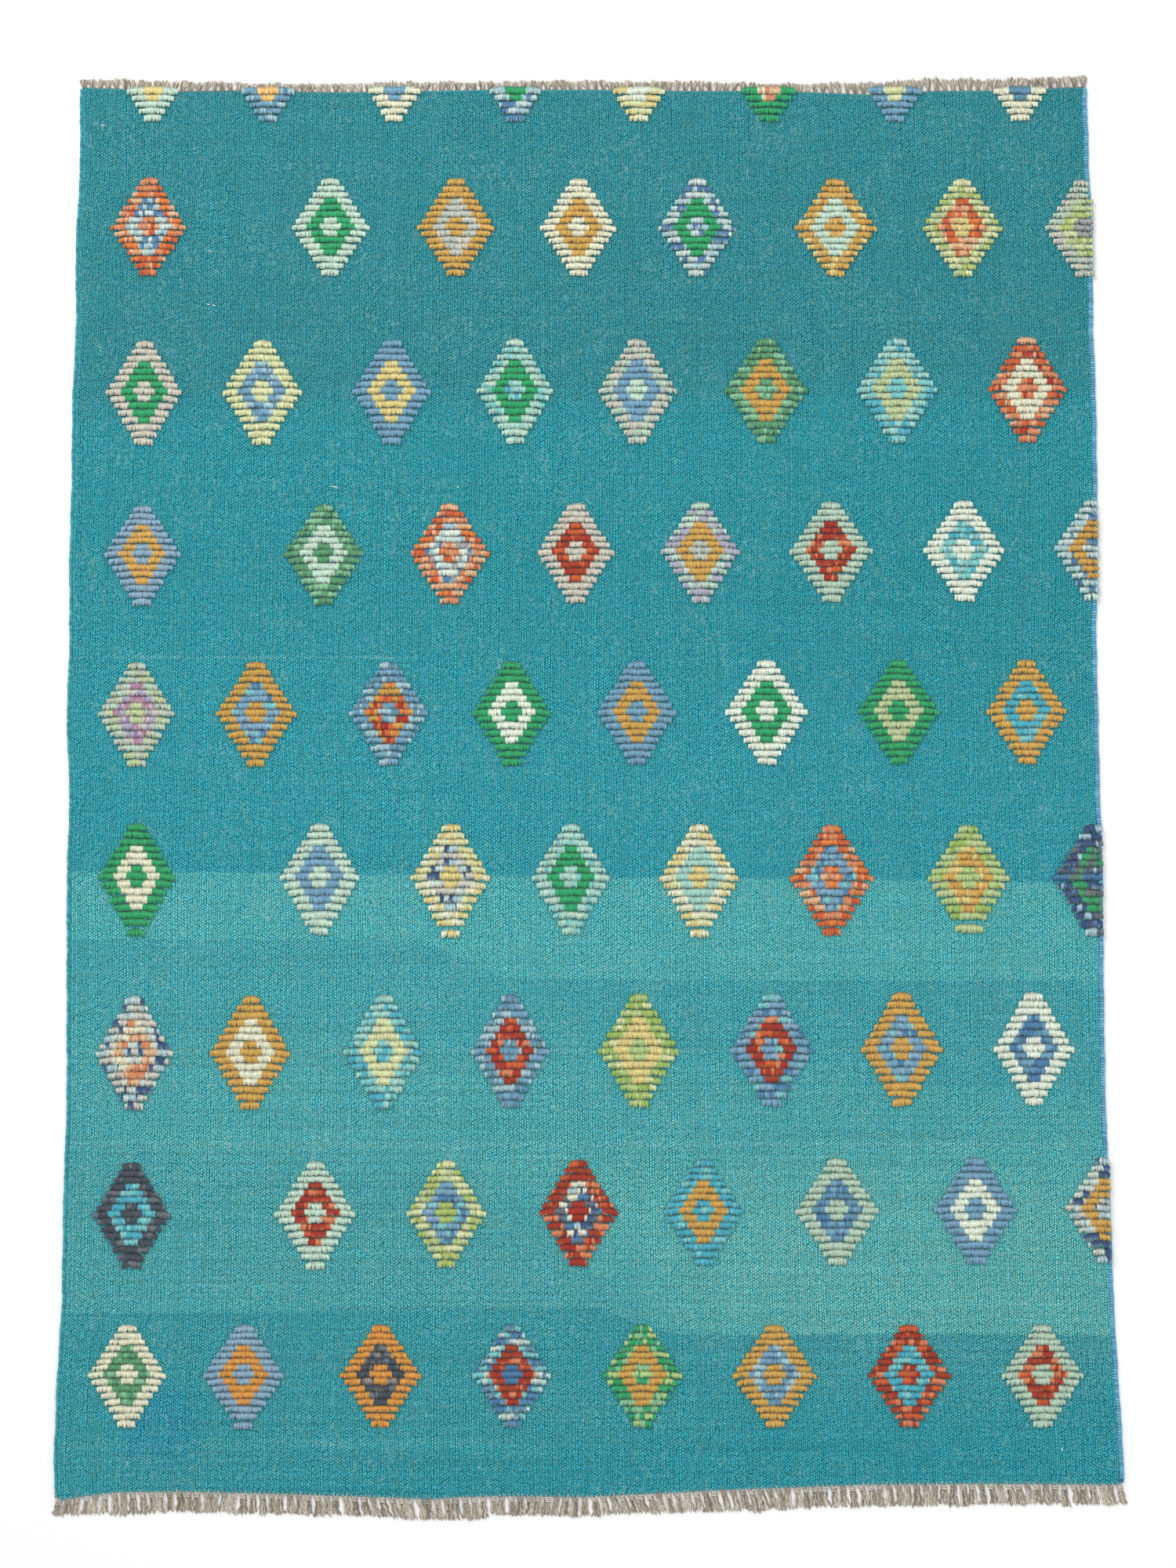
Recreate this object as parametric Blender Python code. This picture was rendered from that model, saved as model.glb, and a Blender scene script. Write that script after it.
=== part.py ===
"""A flat-woven kilim rug: teal cloth with diamonds in knotted pile, whipped sides, a fringe at both ends.

Metres, +Z up. The rug lies flat with its underside at z = 0. +Y runs along the warps, towards the end with
the short fringe, and +X runs along the wefts. The origin is the middle of the rug's outer box, on the floor.
"""
import math
import random
from collections import namedtuple

import bmesh
import bpy
from mathutils.geometry import delaunay_2d_cdt

# ---- driving sizes ------------------------------------------------------------------------------------

CLOTH_THICKNESS = 0.0032
PILE_HEIGHT = 0.0050            # the pile's top above the cloth
PILE_SLOPE = 0.0016             # how far a diamond's flank leans in over that height
PILE_FLARE = 0.0020             # the cut yarn spreads this far past the outer knots
PILE_EDGE_MARGIN = 0.0012       # cloth left between a cut-off diamond and the edge
GAP = 0.0003                    # between neighbouring pieces

BINDING_WIDTH = 0.0080          # the whipped edge yarn, across
BINDING_HEIGHT = 0.0052
BINDING_SECTION = (             # corners of the bead, as shares of its width and height
    (0.12, 0.00), (0.88, 0.00), (1.00, 0.45), (0.78, 0.92), (0.50, 1.00), (0.22, 0.92), (0.00, 0.45),
)

STRIP_WIDTH = 0.0024            # the band that the fringe locks grow from
STRIP_HEIGHT = 0.0030

# The rug's side edges, from the top end to the bottom end, uneven as woven.
SideRow = namedtuple("SideRow", "y left_x right_x")
SIDE_EDGES = [SideRow(*row) for row in (
    (1.0330, -0.7515, 0.7375),
    (0.9120, -0.7500, 0.7395),
    (0.7940, -0.7550, 0.7435),
    (0.6770, -0.7530, 0.7425),
    (0.5600, -0.7570, 0.7455),
    (0.4440, -0.7565, 0.7455),
    (0.3280, -0.7585, 0.7455),
    (0.2120, -0.7565, 0.7415),
    (0.0970, -0.7595, 0.7430),
    (-0.0170, -0.7535, 0.7440),
    (-0.1310, -0.7560, 0.7470),
    (-0.3020, -0.7540, 0.7460),
    (-0.4710, -0.7520, 0.7465),
    (-0.5840, -0.7550, 0.7515),
    (-0.7510, -0.7555, 0.7550),
    (-0.8630, -0.7615, 0.7605),
    (-0.9740, -0.7640, 0.7665),
    (-1.0300, -0.7620, 0.7655),
)]

# The rug's ends, from left to right: where the weave stops, and where the fringe's tips lie.
EndRow = namedtuple("EndRow", "x weave_y tip_y")
TOP_END = [EndRow(*row) for row in (
    (-0.7515, 1.0320, 1.0480),
    (-0.6960, 1.0300, 1.0480),
    (-0.6030, 1.0260, 1.0445),
    (-0.5100, 1.0275, 1.0430),
    (-0.3710, 1.0245, 1.0420),
    (-0.2320, 1.0265, 1.0445),
    (-0.1390, 1.0285, 1.0445),
    (0.0000, 1.0285, 1.0460),
    (0.1390, 1.0265, 1.0455),
    (0.2785, 1.0265, 1.0420),
    (0.4170, 1.0210, 1.0430),
    (0.5105, 1.0265, 1.0500),
    (0.6030, 1.0270, 1.0490),
    (0.7375, 1.0330, 1.0530),
)]
BOTTOM_END = [EndRow(*row) for row in (
    (-0.7620, -1.0275, -1.0500),
    (-0.7170, -1.0200, -1.0475),
    (-0.6720, -1.0145, -1.0490),
    (-0.5830, -1.0135, -1.0435),
    (-0.4480, -1.0165, -1.0480),
    (-0.3140, -1.0210, -1.0500),
    (-0.2240, -1.0245, -1.0555),
    (-0.1790, -1.0215, -1.0560),
    (-0.1340, -1.0200, -1.0480),
    (0.0000, -1.0210, -1.0510),
    (0.1345, -1.0145, -1.0435),
    (0.2240, -1.0100, -1.0440),
    (0.3140, -1.0070, -1.0380),
    (0.4030, -1.0035, -1.0375),
    (0.5830, -1.0025, -1.0345),
    (0.7655, -1.0040, -1.0340),
)]

# The rows of diamonds, from the top end. Each diamond has 15 rows of knots, with 17 knots in its middle row.
KNOT_ROWS_TO_MIDDLE = 7
KNOTS_AT_MIDDLE = 17
KNOTS_AT_TIP = 3
KNOT_PITCH = (0.00610, 0.00635, 0.00630, 0.00615, 0.00630, 0.00660, 0.00650, 0.00635)    # by column
ABOVE_FIRST_ROW = 0.4           # row pitches from the first knots to the outline's top
BELOW_LAST_ROW = 0.6            # and from the last knots to its bottom, where the cut yarn leans over
DiamondRow = namedtuple("DiamondRow", "y_left y_right pitch_above pitch_below places")
DIAMOND_ROWS = [DiamondRow(*row) for row in (
    (1.060, 1.060, 0.0100, 0.0100, (-0.643, -0.473, -0.286, -0.107, 0.075, 0.267, 0.453, 0.638)),
    (0.825, 0.823, 0.0095, 0.0097, (-0.647, -0.379, -0.194, -0.014, 0.161, 0.364, 0.551, 0.730)),
    (0.579, 0.584, 0.0098, 0.0106, (-0.651, -0.478, -0.288, -0.107, 0.072, 0.261, 0.453, 0.644)),
    (0.339, 0.347, 0.0092, 0.0102, (-0.651, -0.386, -0.202, -0.018, 0.164, 0.355, 0.549, 0.738)),
    (0.105, 0.109, 0.0096, 0.0104, (-0.657, -0.483, -0.290, -0.111, 0.071, 0.260, 0.452, 0.638)),
    (-0.133, -0.135, 0.0099, 0.0112, (-0.654, -0.389, -0.199, -0.025, 0.161, 0.353, 0.551, 0.732)),
    (-0.388, -0.381, 0.0105, 0.0109, (-0.655, -0.487, -0.295, -0.112, 0.073, 0.265, 0.453, 0.643)),
    (-0.619, -0.611, 0.0095, 0.0104, (-0.656, -0.392, -0.204, -0.014, 0.166, 0.358, 0.557, 0.744)),
    (-0.850, -0.850, 0.0091, 0.0101, (-0.660, -0.493, -0.297, -0.109, 0.078, 0.267, 0.460, 0.651)),
)]

# The fringe locks, by stations from root to tip.
Station = namedtuple("Station", "share_of_length half_width height")
SHORT_LOCK = [Station(*row) for row in (
    (0.00, 0.0017, STRIP_HEIGHT),
    (0.35, 0.0024, 0.0038),
    (1.00, 0.0048, 0.0046),
)]
KNOTTED_LOCK = [Station(*row) for row in (
    (0.00, 0.0030, STRIP_HEIGHT),
    (0.17, 0.0044, 0.0068),
    (0.36, 0.0033, 0.0046),
    (1.00, 0.0051, 0.0036),
)]
SHORT_LOCKS = 124
KNOTTED_LOCKS = 116
LOCK_TOP_SHARE = 0.62           # a lock's top is this much of its width at the floor
LOCK_LENGTH_SPREAD = 0.0018     # how the locks vary, each way
LOCK_WIDTH_SPREAD = 0.0003
LOCK_SWAY = 0.0030              # sideways lean of the tips, in slow waves along the fringe
LOCK_SWAY_WAVES = (0.41, 0.17)
LOCK_JITTER = 0.0005

# colour (sRGB), roughness
MATERIALS = {
    "field_wool": ((0.23, 0.59, 0.64), 0.92),
    "teal_binding": ((0.22, 0.56, 0.62), 0.90),
    "blue_binding": ((0.43, 0.64, 0.82), 0.90),
    "fringe_wool": ((0.69, 0.66, 0.60), 0.93),
}


# ---- helpers ------------------------------------------------------------------------------------------

def read_off(table, at, column):
    """A named column's value at a place in the table's first column, between its rows in a straight line."""
    rows = sorted(table)
    at = min(max(at, rows[0][0]), rows[-1][0])
    for low, high in zip(rows, rows[1:]):
        if at <= high[0]:
            share = (at - low[0]) / (high[0] - low[0])
            return getattr(low, column) + share * (getattr(high, column) - getattr(low, column))


def left_edge(y):
    return read_off(SIDE_EDGES, y, "left_x")


def right_edge(y):
    return read_off(SIDE_EDGES, y, "right_x")


def weave_end(end_table, x):
    return read_off(end_table, x, "weave_y")


def linear_colour(srgb):
    return [c / 12.92 if c <= 0.04045 else ((c + 0.055) / 1.055) ** 2.4 for c in srgb] + [1.0]


def wool(name):
    colour, roughness = MATERIALS[name]
    material = bpy.data.materials.new(name)
    material.use_nodes = True
    shader = material.node_tree.nodes["Principled BSDF"]
    shader.inputs["Base Color"].default_value = linear_colour(colour)
    shader.inputs["Roughness"].default_value = roughness
    shader.inputs["Metallic"].default_value = 0.0
    return material


def solid(name, points, faces, material):
    """A named object from points and faces, with its faces turned outwards."""
    mesh = bpy.data.meshes.new(name)
    mesh.from_pydata(points, [], faces)
    shape = bmesh.new()
    shape.from_mesh(mesh)
    bmesh.ops.recalc_face_normals(shape, faces=shape.faces)
    shape.to_mesh(mesh)
    shape.free()
    mesh.materials.append(material)
    piece = bpy.data.objects.new(name, mesh)
    bpy.context.scene.collection.objects.link(piece)
    return piece


def neighbours(count):
    """Each index of a closed loop with the one after it."""
    return [(i, (i + 1) % count) for i in range(count)]


# ---- the cloth and its diamonds -----------------------------------------------------------------------

def cloth_outline():
    """The woven cloth's corners, anticlockwise from the top left, inside the whipped edges."""
    inset = BINDING_WIDTH + GAP
    corner_margin = inset + 0.01

    def end(table, y_corner):
        x_low, x_high = left_edge(y_corner), right_edge(y_corner)
        between = [row.x for row in table if x_low + corner_margin < row.x < x_high - corner_margin]
        return [(x, weave_end(table, x)) for x in (x_low + inset, *between, x_high - inset)]

    sides = SIDE_EDGES[1:-1]
    left = [(row.left_x + inset, row.y) for row in sides]
    right = [(row.right_x - inset, row.y) for row in reversed(sides)]
    bottom = end(BOTTOM_END, SIDE_EDGES[-1].y)
    top = end(TOP_END, SIDE_EDGES[0].y)
    return left + bottom + right + top[::-1]


def keep_below(polygon, axis, limit):
    """Cut a convex polygon off at a limit along x (axis 0) or y (axis 1)."""
    kept = []
    for here, after in zip(polygon, polygon[1:] + polygon[:1]):
        if here[axis] <= limit:
            kept.append(here)
        if (here[axis] <= limit) != (after[axis] <= limit):
            share = (limit - here[axis]) / (after[axis] - here[axis])
            kept.append(tuple(a + share * (b - a) for a, b in zip(here, after)))
    return kept


def diamond_outline(row, column):
    """One diamond's outline, anticlockwise, cut off where the cloth ends."""
    x = row.places[column]
    y = row.y_left + (row.y_right - row.y_left) * column / (len(row.places) - 1)
    reach = KNOTS_AT_MIDDLE * KNOT_PITCH[column] / 2
    wide, narrow = reach + PILE_FLARE, reach * KNOTS_AT_TIP / KNOTS_AT_MIDDLE + PILE_FLARE
    top = y + (KNOT_ROWS_TO_MIDDLE + ABOVE_FIRST_ROW) * row.pitch_above
    high, low = y + row.pitch_above / 2, y - row.pitch_below / 2
    bottom = y - (KNOT_ROWS_TO_MIDDLE + BELOW_LAST_ROW) * row.pitch_below
    outline = [(x - narrow, top), (x - wide, high), (x - wide, low), (x - narrow, bottom),
               (x + narrow, bottom), (x + wide, low), (x + wide, high), (x + narrow, top)]
    cloth_side = min(right_edge(place) for place in (top, y, bottom)) - BINDING_WIDTH - GAP
    cloth_end = min(weave_end(TOP_END, place) for place in (x - wide, x, x + wide))
    outline = keep_below(outline, 0, cloth_side - PILE_EDGE_MARGIN)
    return keep_below(outline, 1, cloth_end - PILE_EDGE_MARGIN)


def shrunk(polygon, distance):
    """A convex anticlockwise polygon with every side moved in by a distance."""
    corners = []
    for i, after_i in neighbours(len(polygon)):
        before, corner, after = polygon[i - 1], polygon[i], polygon[after_i]
        heading_in = math.atan2(corner[1] - before[1], corner[0] - before[0])
        heading_out = math.atan2(after[1] - corner[1], after[0] - corner[0])
        half_turn = ((heading_out - heading_in) % (2 * math.pi)) / 2
        inwards = heading_in + half_turn + math.pi / 2
        step = distance / math.cos(half_turn)
        corners.append((corner[0] + step * math.cos(inwards), corner[1] + step * math.sin(inwards)))
    return corners


def inside(point, polygon):
    """Whether a point lies in a convex anticlockwise polygon."""
    return all((b[0] - a[0]) * (point[1] - a[1]) > (b[1] - a[1]) * (point[0] - a[0])
               for a, b in zip(polygon, polygon[1:] + polygon[:1]))


def triangulated(loops):
    """Triangles that fill the first loop and keep to every loop's sides, and each loop's first index."""
    corners, edges, starts = [], [], []
    for loop in loops:
        start = len(corners)
        starts.append(start)
        edges += [(start + a, start + b) for a, b in neighbours(len(loop))]
        corners += loop
    inside_edges, same_point = 1, 1e-7
    flat, _, triangles, _, _, _ = delaunay_2d_cdt(corners, edges, [], inside_edges, same_point)
    if len(flat) != len(corners):
        raise ValueError("two outlines of the cloth cross or touch")
    return [tuple(corner) for corner in flat], triangles, starts


def build_field(material):
    """The cloth: a flat sheet whose top face rises into a flat-topped lump of pile at each diamond."""
    border = cloth_outline()
    diamonds = [diamond_outline(row, column) for row in DIAMOND_ROWS for column in range(len(row.places))]
    flat, triangles, starts = triangulated([border] + diamonds)

    points = [(x, y, CLOTH_THICKNESS) for x, y in flat]
    faces = []
    for triangle in triangles:
        middle = [sum(flat[i][axis] for i in triangle) / 3 for axis in (0, 1)]
        if not any(inside(middle, diamond) for diamond in diamonds):
            faces.append(tuple(triangle))

    for start, diamond in zip(starts[1:], diamonds):
        rim, count = len(points), len(diamond)
        points += [(x, y, CLOTH_THICKNESS + PILE_HEIGHT) for x, y in shrunk(diamond, PILE_SLOPE)]
        faces += [(start + a, start + b, rim + b, rim + a) for a, b in neighbours(count)]
        faces.append(tuple(range(rim, rim + count)))

    under = len(points)
    flat, triangles, _ = triangulated([border])
    points += [(x, y, 0.0) for x, y in flat]
    faces += [tuple(under + i for i in triangle) for triangle in triangles]
    faces += [(b, a, under + a, under + b) for a, b in neighbours(len(border))]
    return solid("field", points, faces, material)


# ---- the whipped edges --------------------------------------------------------------------------------

def build_binding(name, outer_edge, towards_cloth, material):
    """A rounded bead of yarn along one side. towards_cloth is +1 on the left side and -1 on the right."""
    first, last = SIDE_EDGES[-1].y, SIDE_EDGES[0].y
    points, faces = [], []
    for row in reversed(SIDE_EDGES):
        for width_share, height_share in BINDING_SECTION:
            x = outer_edge(row.y) + towards_cloth * width_share * BINDING_WIDTH
            y = {first: weave_end(BOTTOM_END, x), last: weave_end(TOP_END, x)}.get(row.y, row.y)
            points.append((x, y, height_share * BINDING_HEIGHT))
    sides, rings = len(BINDING_SECTION), len(SIDE_EDGES)
    for ring in range(rings - 1):
        low, high = ring * sides, (ring + 1) * sides
        faces += [(low + a, low + b, high + b, high + a) for a, b in neighbours(sides)]
    faces.append(tuple(range(sides)))
    faces.append(tuple(range((rings - 1) * sides, rings * sides)))
    return solid(name, points, faces, material)


# ---- the fringes --------------------------------------------------------------------------------------

def locks_of(end_table, count, seed):
    """Each lock's place, length, sideways lean at the tip and extra half width, along one end."""
    draw = random.Random(seed)
    first, last = end_table[0].x, end_table[-1].x
    for i in range(count):
        x = first + (last - first) * (i + 0.5) / count
        waves = sum(math.sin(2 * math.pi * x / wave + seed) for wave in LOCK_SWAY_WAVES)
        lean = LOCK_SWAY * waves / len(LOCK_SWAY_WAVES) + draw.uniform(-LOCK_JITTER, LOCK_JITTER)
        reach = abs(read_off(end_table, x, "tip_y") - weave_end(end_table, x))
        length = reach + draw.uniform(-LOCK_LENGTH_SPREAD, LOCK_LENGTH_SPREAD)
        yield x, length, lean, draw.uniform(-LOCK_WIDTH_SPREAD, LOCK_WIDTH_SPREAD)


def build_fringe(name, end_table, outwards, stations, count, seed, material):
    """Locks that lie flat and side by side, with their roots fused into a strip along the cloth's end.

    outwards is +1 at the top end and -1 at the bottom end.
    """
    points, faces = [], []

    def strip_column(x):
        """Four points across the strip: inner low, inner high, outer high, outer low."""
        inner = weave_end(end_table, x) + outwards * GAP
        outer = inner + outwards * STRIP_WIDTH
        points.extend([(x, inner, 0.0), (x, inner, STRIP_HEIGHT), (x, outer, STRIP_HEIGHT), (x, outer, 0.0)])
        return len(points) - 4

    def join_columns(a, b, has_front):
        faces.extend([(a, b, b + 1, a + 1), (a + 1, b + 1, b + 2, a + 2), (a + 3, b + 3, b, a)])
        if has_front:
            faces.append((a + 2, b + 2, b + 3, a + 3))

    def lock_ring(x, y, half_width, height):
        """Four points around a lock: left low, left high, right high, right low."""
        half_top = half_width * LOCK_TOP_SHARE
        points.extend([(x - half_width, y, 0.0), (x - half_top, y, height), (x + half_top, y, height),
                       (x + half_width, y, 0.0)])
        start = len(points) - 4
        return start, start + 1, start + 2, start + 3

    root, *beyond = stations
    before = strip_column(end_table[0].x)
    faces.append((before, before + 1, before + 2, before + 3))
    for x, length, lean, extra_width in locks_of(end_table, count, seed):
        left, right = strip_column(x - root.half_width), strip_column(x + root.half_width)
        join_columns(before, left, has_front=True)
        join_columns(left, right, has_front=False)
        ring = (left + 3, left + 2, right + 2, right + 3)
        y_root = weave_end(end_table, x) + outwards * (GAP + STRIP_WIDTH)
        for share, half_width, height in beyond:
            following = lock_ring(x + lean * share, y_root + outwards * (length - STRIP_WIDTH) * share,
                                  half_width + extra_width * share, height)
            faces.extend((ring[a], ring[b], following[b], following[a]) for a, b in neighbours(4))
            ring = following
        faces.append(ring)
        before = right
    after = strip_column(end_table[-1].x)
    join_columns(before, after, has_front=True)
    faces.append((after, after + 1, after + 2, after + 3))
    return solid(name, points, faces, material)


# ---- the rug ------------------------------------------------------------------------------------------

def centre_over_origin(pieces):
    """Move the whole rug so that the middle of its outer box is over the origin."""
    xs = [vertex.co.x for piece in pieces for vertex in piece.data.vertices]
    ys = [vertex.co.y for piece in pieces for vertex in piece.data.vertices]
    for piece in pieces:
        piece.location = (-(min(xs) + max(xs)) / 2, -(min(ys) + max(ys)) / 2, 0.0)


def build_rug():
    for leftover in list(bpy.data.objects):
        bpy.data.objects.remove(leftover)
    fringe_wool = wool("fringe_wool")
    centre_over_origin([
        build_field(wool("field_wool")),
        build_binding("selvage_left", left_edge, 1, wool("teal_binding")),
        build_binding("selvage_right", right_edge, -1, wool("blue_binding")),
        build_fringe("fringe_top", TOP_END, 1, SHORT_LOCK, SHORT_LOCKS, 11, fringe_wool),
        build_fringe("fringe_bottom", BOTTOM_END, -1, KNOTTED_LOCK, KNOTTED_LOCKS, 12, fringe_wool),
    ])


build_rug()
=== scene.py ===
"""The looks of a flat-woven kilim rug: teal weft-faced cloth, diamonds in knotted pile, wound side edges
and a fringe at both ends.

Metres, +Z up. Places are worked out in the rug's own frame, where x = 0 and y = 0 lie near its middle, and
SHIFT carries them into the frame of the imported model.
"""

import math
import random
from collections import namedtuple
from functools import partialmethod

import bpy
import numpy as np
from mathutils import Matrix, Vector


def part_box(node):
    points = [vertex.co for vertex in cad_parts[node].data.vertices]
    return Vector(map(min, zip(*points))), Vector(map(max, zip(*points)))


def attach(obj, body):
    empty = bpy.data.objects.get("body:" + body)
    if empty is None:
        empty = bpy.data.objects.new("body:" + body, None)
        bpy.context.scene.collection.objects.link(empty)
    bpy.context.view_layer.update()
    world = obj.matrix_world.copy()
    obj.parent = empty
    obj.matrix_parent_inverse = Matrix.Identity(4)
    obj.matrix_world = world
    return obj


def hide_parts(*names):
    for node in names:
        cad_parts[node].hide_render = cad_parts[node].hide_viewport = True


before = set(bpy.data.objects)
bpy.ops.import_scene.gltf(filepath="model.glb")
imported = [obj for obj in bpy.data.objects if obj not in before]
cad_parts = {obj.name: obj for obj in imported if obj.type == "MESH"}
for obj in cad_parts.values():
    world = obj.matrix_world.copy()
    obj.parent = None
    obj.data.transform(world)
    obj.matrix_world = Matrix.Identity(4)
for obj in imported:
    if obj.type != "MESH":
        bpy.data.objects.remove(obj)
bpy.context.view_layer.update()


def table(names, rows, defaults=()):
    """Rows of values whose columns have names."""
    kind = namedtuple("Row", names, defaults=defaults)
    return [kind(*row) for row in rows]


# ---- the rug's own sizes, as the solids have them ----

CLOTH_TOP = 0.0032
GAP = 0.0003
BINDING_WIDTH = 0.008
BINDING_HEIGHT = 0.0052

SIDE_EDGES = table("y left_x right_x", (
    (-1.03, -0.762, 0.7655), (-0.974, -0.764, 0.7665), (-0.863, -0.7615, 0.7605),
    (-0.751, -0.7555, 0.755), (-0.584, -0.755, 0.7515), (-0.471, -0.752, 0.7465), (-0.302, -0.754, 0.746),
    (-0.131, -0.756, 0.747), (-0.017, -0.7535, 0.744), (0.097, -0.7595, 0.743), (0.212, -0.7565, 0.7415),
    (0.328, -0.7585, 0.7455), (0.444, -0.7565, 0.7455), (0.56, -0.757, 0.7455), (0.677, -0.753, 0.7425),
    (0.794, -0.755, 0.7435), (0.912, -0.75, 0.7395), (1.033, -0.7515, 0.7375),
))

TOP_END = table("x weave_y tip_y", (
    (-0.7515, 1.032, 1.048), (-0.696, 1.03, 1.048), (-0.603, 1.026, 1.0445), (-0.51, 1.0275, 1.043),
    (-0.371, 1.0245, 1.042), (-0.232, 1.0265, 1.0445), (-0.139, 1.0285, 1.0445), (0.0, 1.0285, 1.046),
    (0.139, 1.0265, 1.0455), (0.2785, 1.0265, 1.042), (0.417, 1.021, 1.043), (0.5105, 1.0265, 1.05),
    (0.603, 1.027, 1.049), (0.7375, 1.033, 1.053),
))
BOTTOM_END = table("x weave_y tip_y", (
    (-0.762, -1.0275, -1.05), (-0.717, -1.02, -1.0475), (-0.672, -1.0145, -1.049),
    (-0.583, -1.0135, -1.0435), (-0.448, -1.0165, -1.048), (-0.314, -1.021, -1.05),
    (-0.224, -1.0245, -1.0555), (-0.179, -1.0215, -1.056), (-0.134, -1.02, -1.048), (0.0, -1.021, -1.051),
    (0.1345, -1.0145, -1.0435), (0.224, -1.01, -1.044), (0.314, -1.007, -1.038),
    (0.403, -1.0035, -1.0375), (0.583, -1.0025, -1.0345), (0.7655, -1.004, -1.034),
))

SPACING_SEED, PILE_SEED, BRUSH_SEED, KNOTTED_SEED, PICKS_SEED = 31, 100, 21, 22, 7
LEFT_SEED, RIGHT_SEED = 31, 32
SHORT_LOCKS_SEED, KNOTTED_LOCKS_SEED = 11, 12  # as in the solids

KNOT_PITCH = (0.0061, 0.00635, 0.0063, 0.00615, 0.0063, 0.0066, 0.0065, 0.00635)  # by column
KNOT_ROWS = 15
KNOTS_AT_MIDDLE = 17
DIAMOND_ROWS = table("y_left y_right pitch_above pitch_below places", (
    (1.0585, 1.0585, 0.01, 0.01, (-0.643, -0.473, -0.286, -0.107, 0.075, 0.267, 0.453, 0.638)),
    (0.825, 0.823, 0.0095, 0.0097, (-0.647, -0.379, -0.194, -0.014, 0.161, 0.364, 0.551, 0.73)),
    (0.579, 0.584, 0.0098, 0.0106, (-0.651, -0.478, -0.288, -0.107, 0.072, 0.261, 0.453, 0.644)),
    (0.339, 0.347, 0.0092, 0.0102, (-0.651, -0.386, -0.202, -0.018, 0.164, 0.355, 0.549, 0.738)),
    (0.105, 0.109, 0.0096, 0.0104, (-0.657, -0.483, -0.29, -0.111, 0.071, 0.26, 0.452, 0.638)),
    (-0.133, -0.135, 0.0099, 0.0112, (-0.654, -0.389, -0.199, -0.025, 0.161, 0.353, 0.551, 0.732)),
    (-0.388, -0.381, 0.0105, 0.0109, (-0.655, -0.487, -0.295, -0.112, 0.073, 0.265, 0.453, 0.643)),
    (-0.619, -0.611, 0.0095, 0.0104, (-0.656, -0.392, -0.204, -0.014, 0.166, 0.358, 0.557, 0.744)),
    (-0.8475, -0.8475, 0.0091, 0.0099, (-0.66, -0.493, -0.297, -0.109, 0.078, 0.267, 0.46, 0.651)),
))

SHORT_LOCKS = 124
KNOTTED_LOCKS = 116
LOCK_LENGTH_SPREAD = 0.0018
LOCK_WIDTH_SPREAD = 0.0003
LOCK_SWAY = 0.003
LOCK_SWAY_WAVES = (0.41, 0.17)
LOCK_JITTER = 0.0005

# ---- the yarns ----

DYES = dict(  # sRGB; a name in capitals is one of the mixes below
    green="33A56B", leaf="5B9A70", fern="88C09A", moss="9ABB62", lime="B4CC88", chartreuse="ABC06C",
    pistachio="BDCC9C", mint="C3DDCA", sage="B6D0BB", foam="A6D3C6", white="E1ECDA", cream="E2E3C8",
    ecru="CECBBC", butter="D8DEAC", straw="DDCE8A", yellow="E3D28E", apricot="D5A95C", ochre="D1A758",
    tan="CEA353", orange="DE8040", rust="CC6238", red="A6372A", brick="A2452C", salmon="D68A62",
    peach="DFB690", denim="77A5BE", sky="8CADC2", blue="4E7EA8", powder="A8C8CE", ice="C8DAD2",
    navy="3B5680", azure="6293AC", aqua="7EC7C7", lagoon="4CAEC0", lilac="ADACC0", violet="9C7CB8",
    mauve="B0849F", charcoal="4A525C", slate="6C757B", gray="A2A5A2", silver="BCC4BA", honey="EDC27C",
    marigold="DA9A4A", taupe="9A8F80",
)
MIXES = dict(  # yarn that changes colour along its length
    RUST="rust salmon peach orange", FLAME="rust salmon peach red salmon", EMBER="brick red salmon rust red",
    FIRE="rust orange tan red", BRICK="brick red rust", BLUSH="salmon peach cream peach",
    SUN="butter straw cream", AMBER="tan apricot straw tan", BLUE="blue powder ice powder",
    AZURE="denim azure blue azure", SURF="azure ice blue aqua", TIDE="denim sky blue aqua denim",
    SKY="denim azure powder", FROST="ice powder ice blue", ICE="ice powder gray ice blue white",
    NIGHT="navy powder ice ecru", INK="navy slate navy powder blue", MARL="cream blue slate navy powder",
    AQUA="aqua foam lagoon", LAGOON="lagoon aqua lagoon", BROOK="foam mint aqua foam", LEAF="leaf fern leaf",
    PINE="leaf green slate", JADE="green fern lime green", MEADOW="moss lime moss butter",
    LIME="lime pistachio moss lime", CITRON="pistachio chartreuse butter", HAY="pistachio sage silver",
    STONE="silver ecru silver", MIST="sage silver ecru", SMOKE="charcoal taupe slate charcoal",
    COAL="charcoal slate charcoal", LILAC="sage lilac mint lilac", VIOLET="violet lilac mauve ecru",
)
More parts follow.
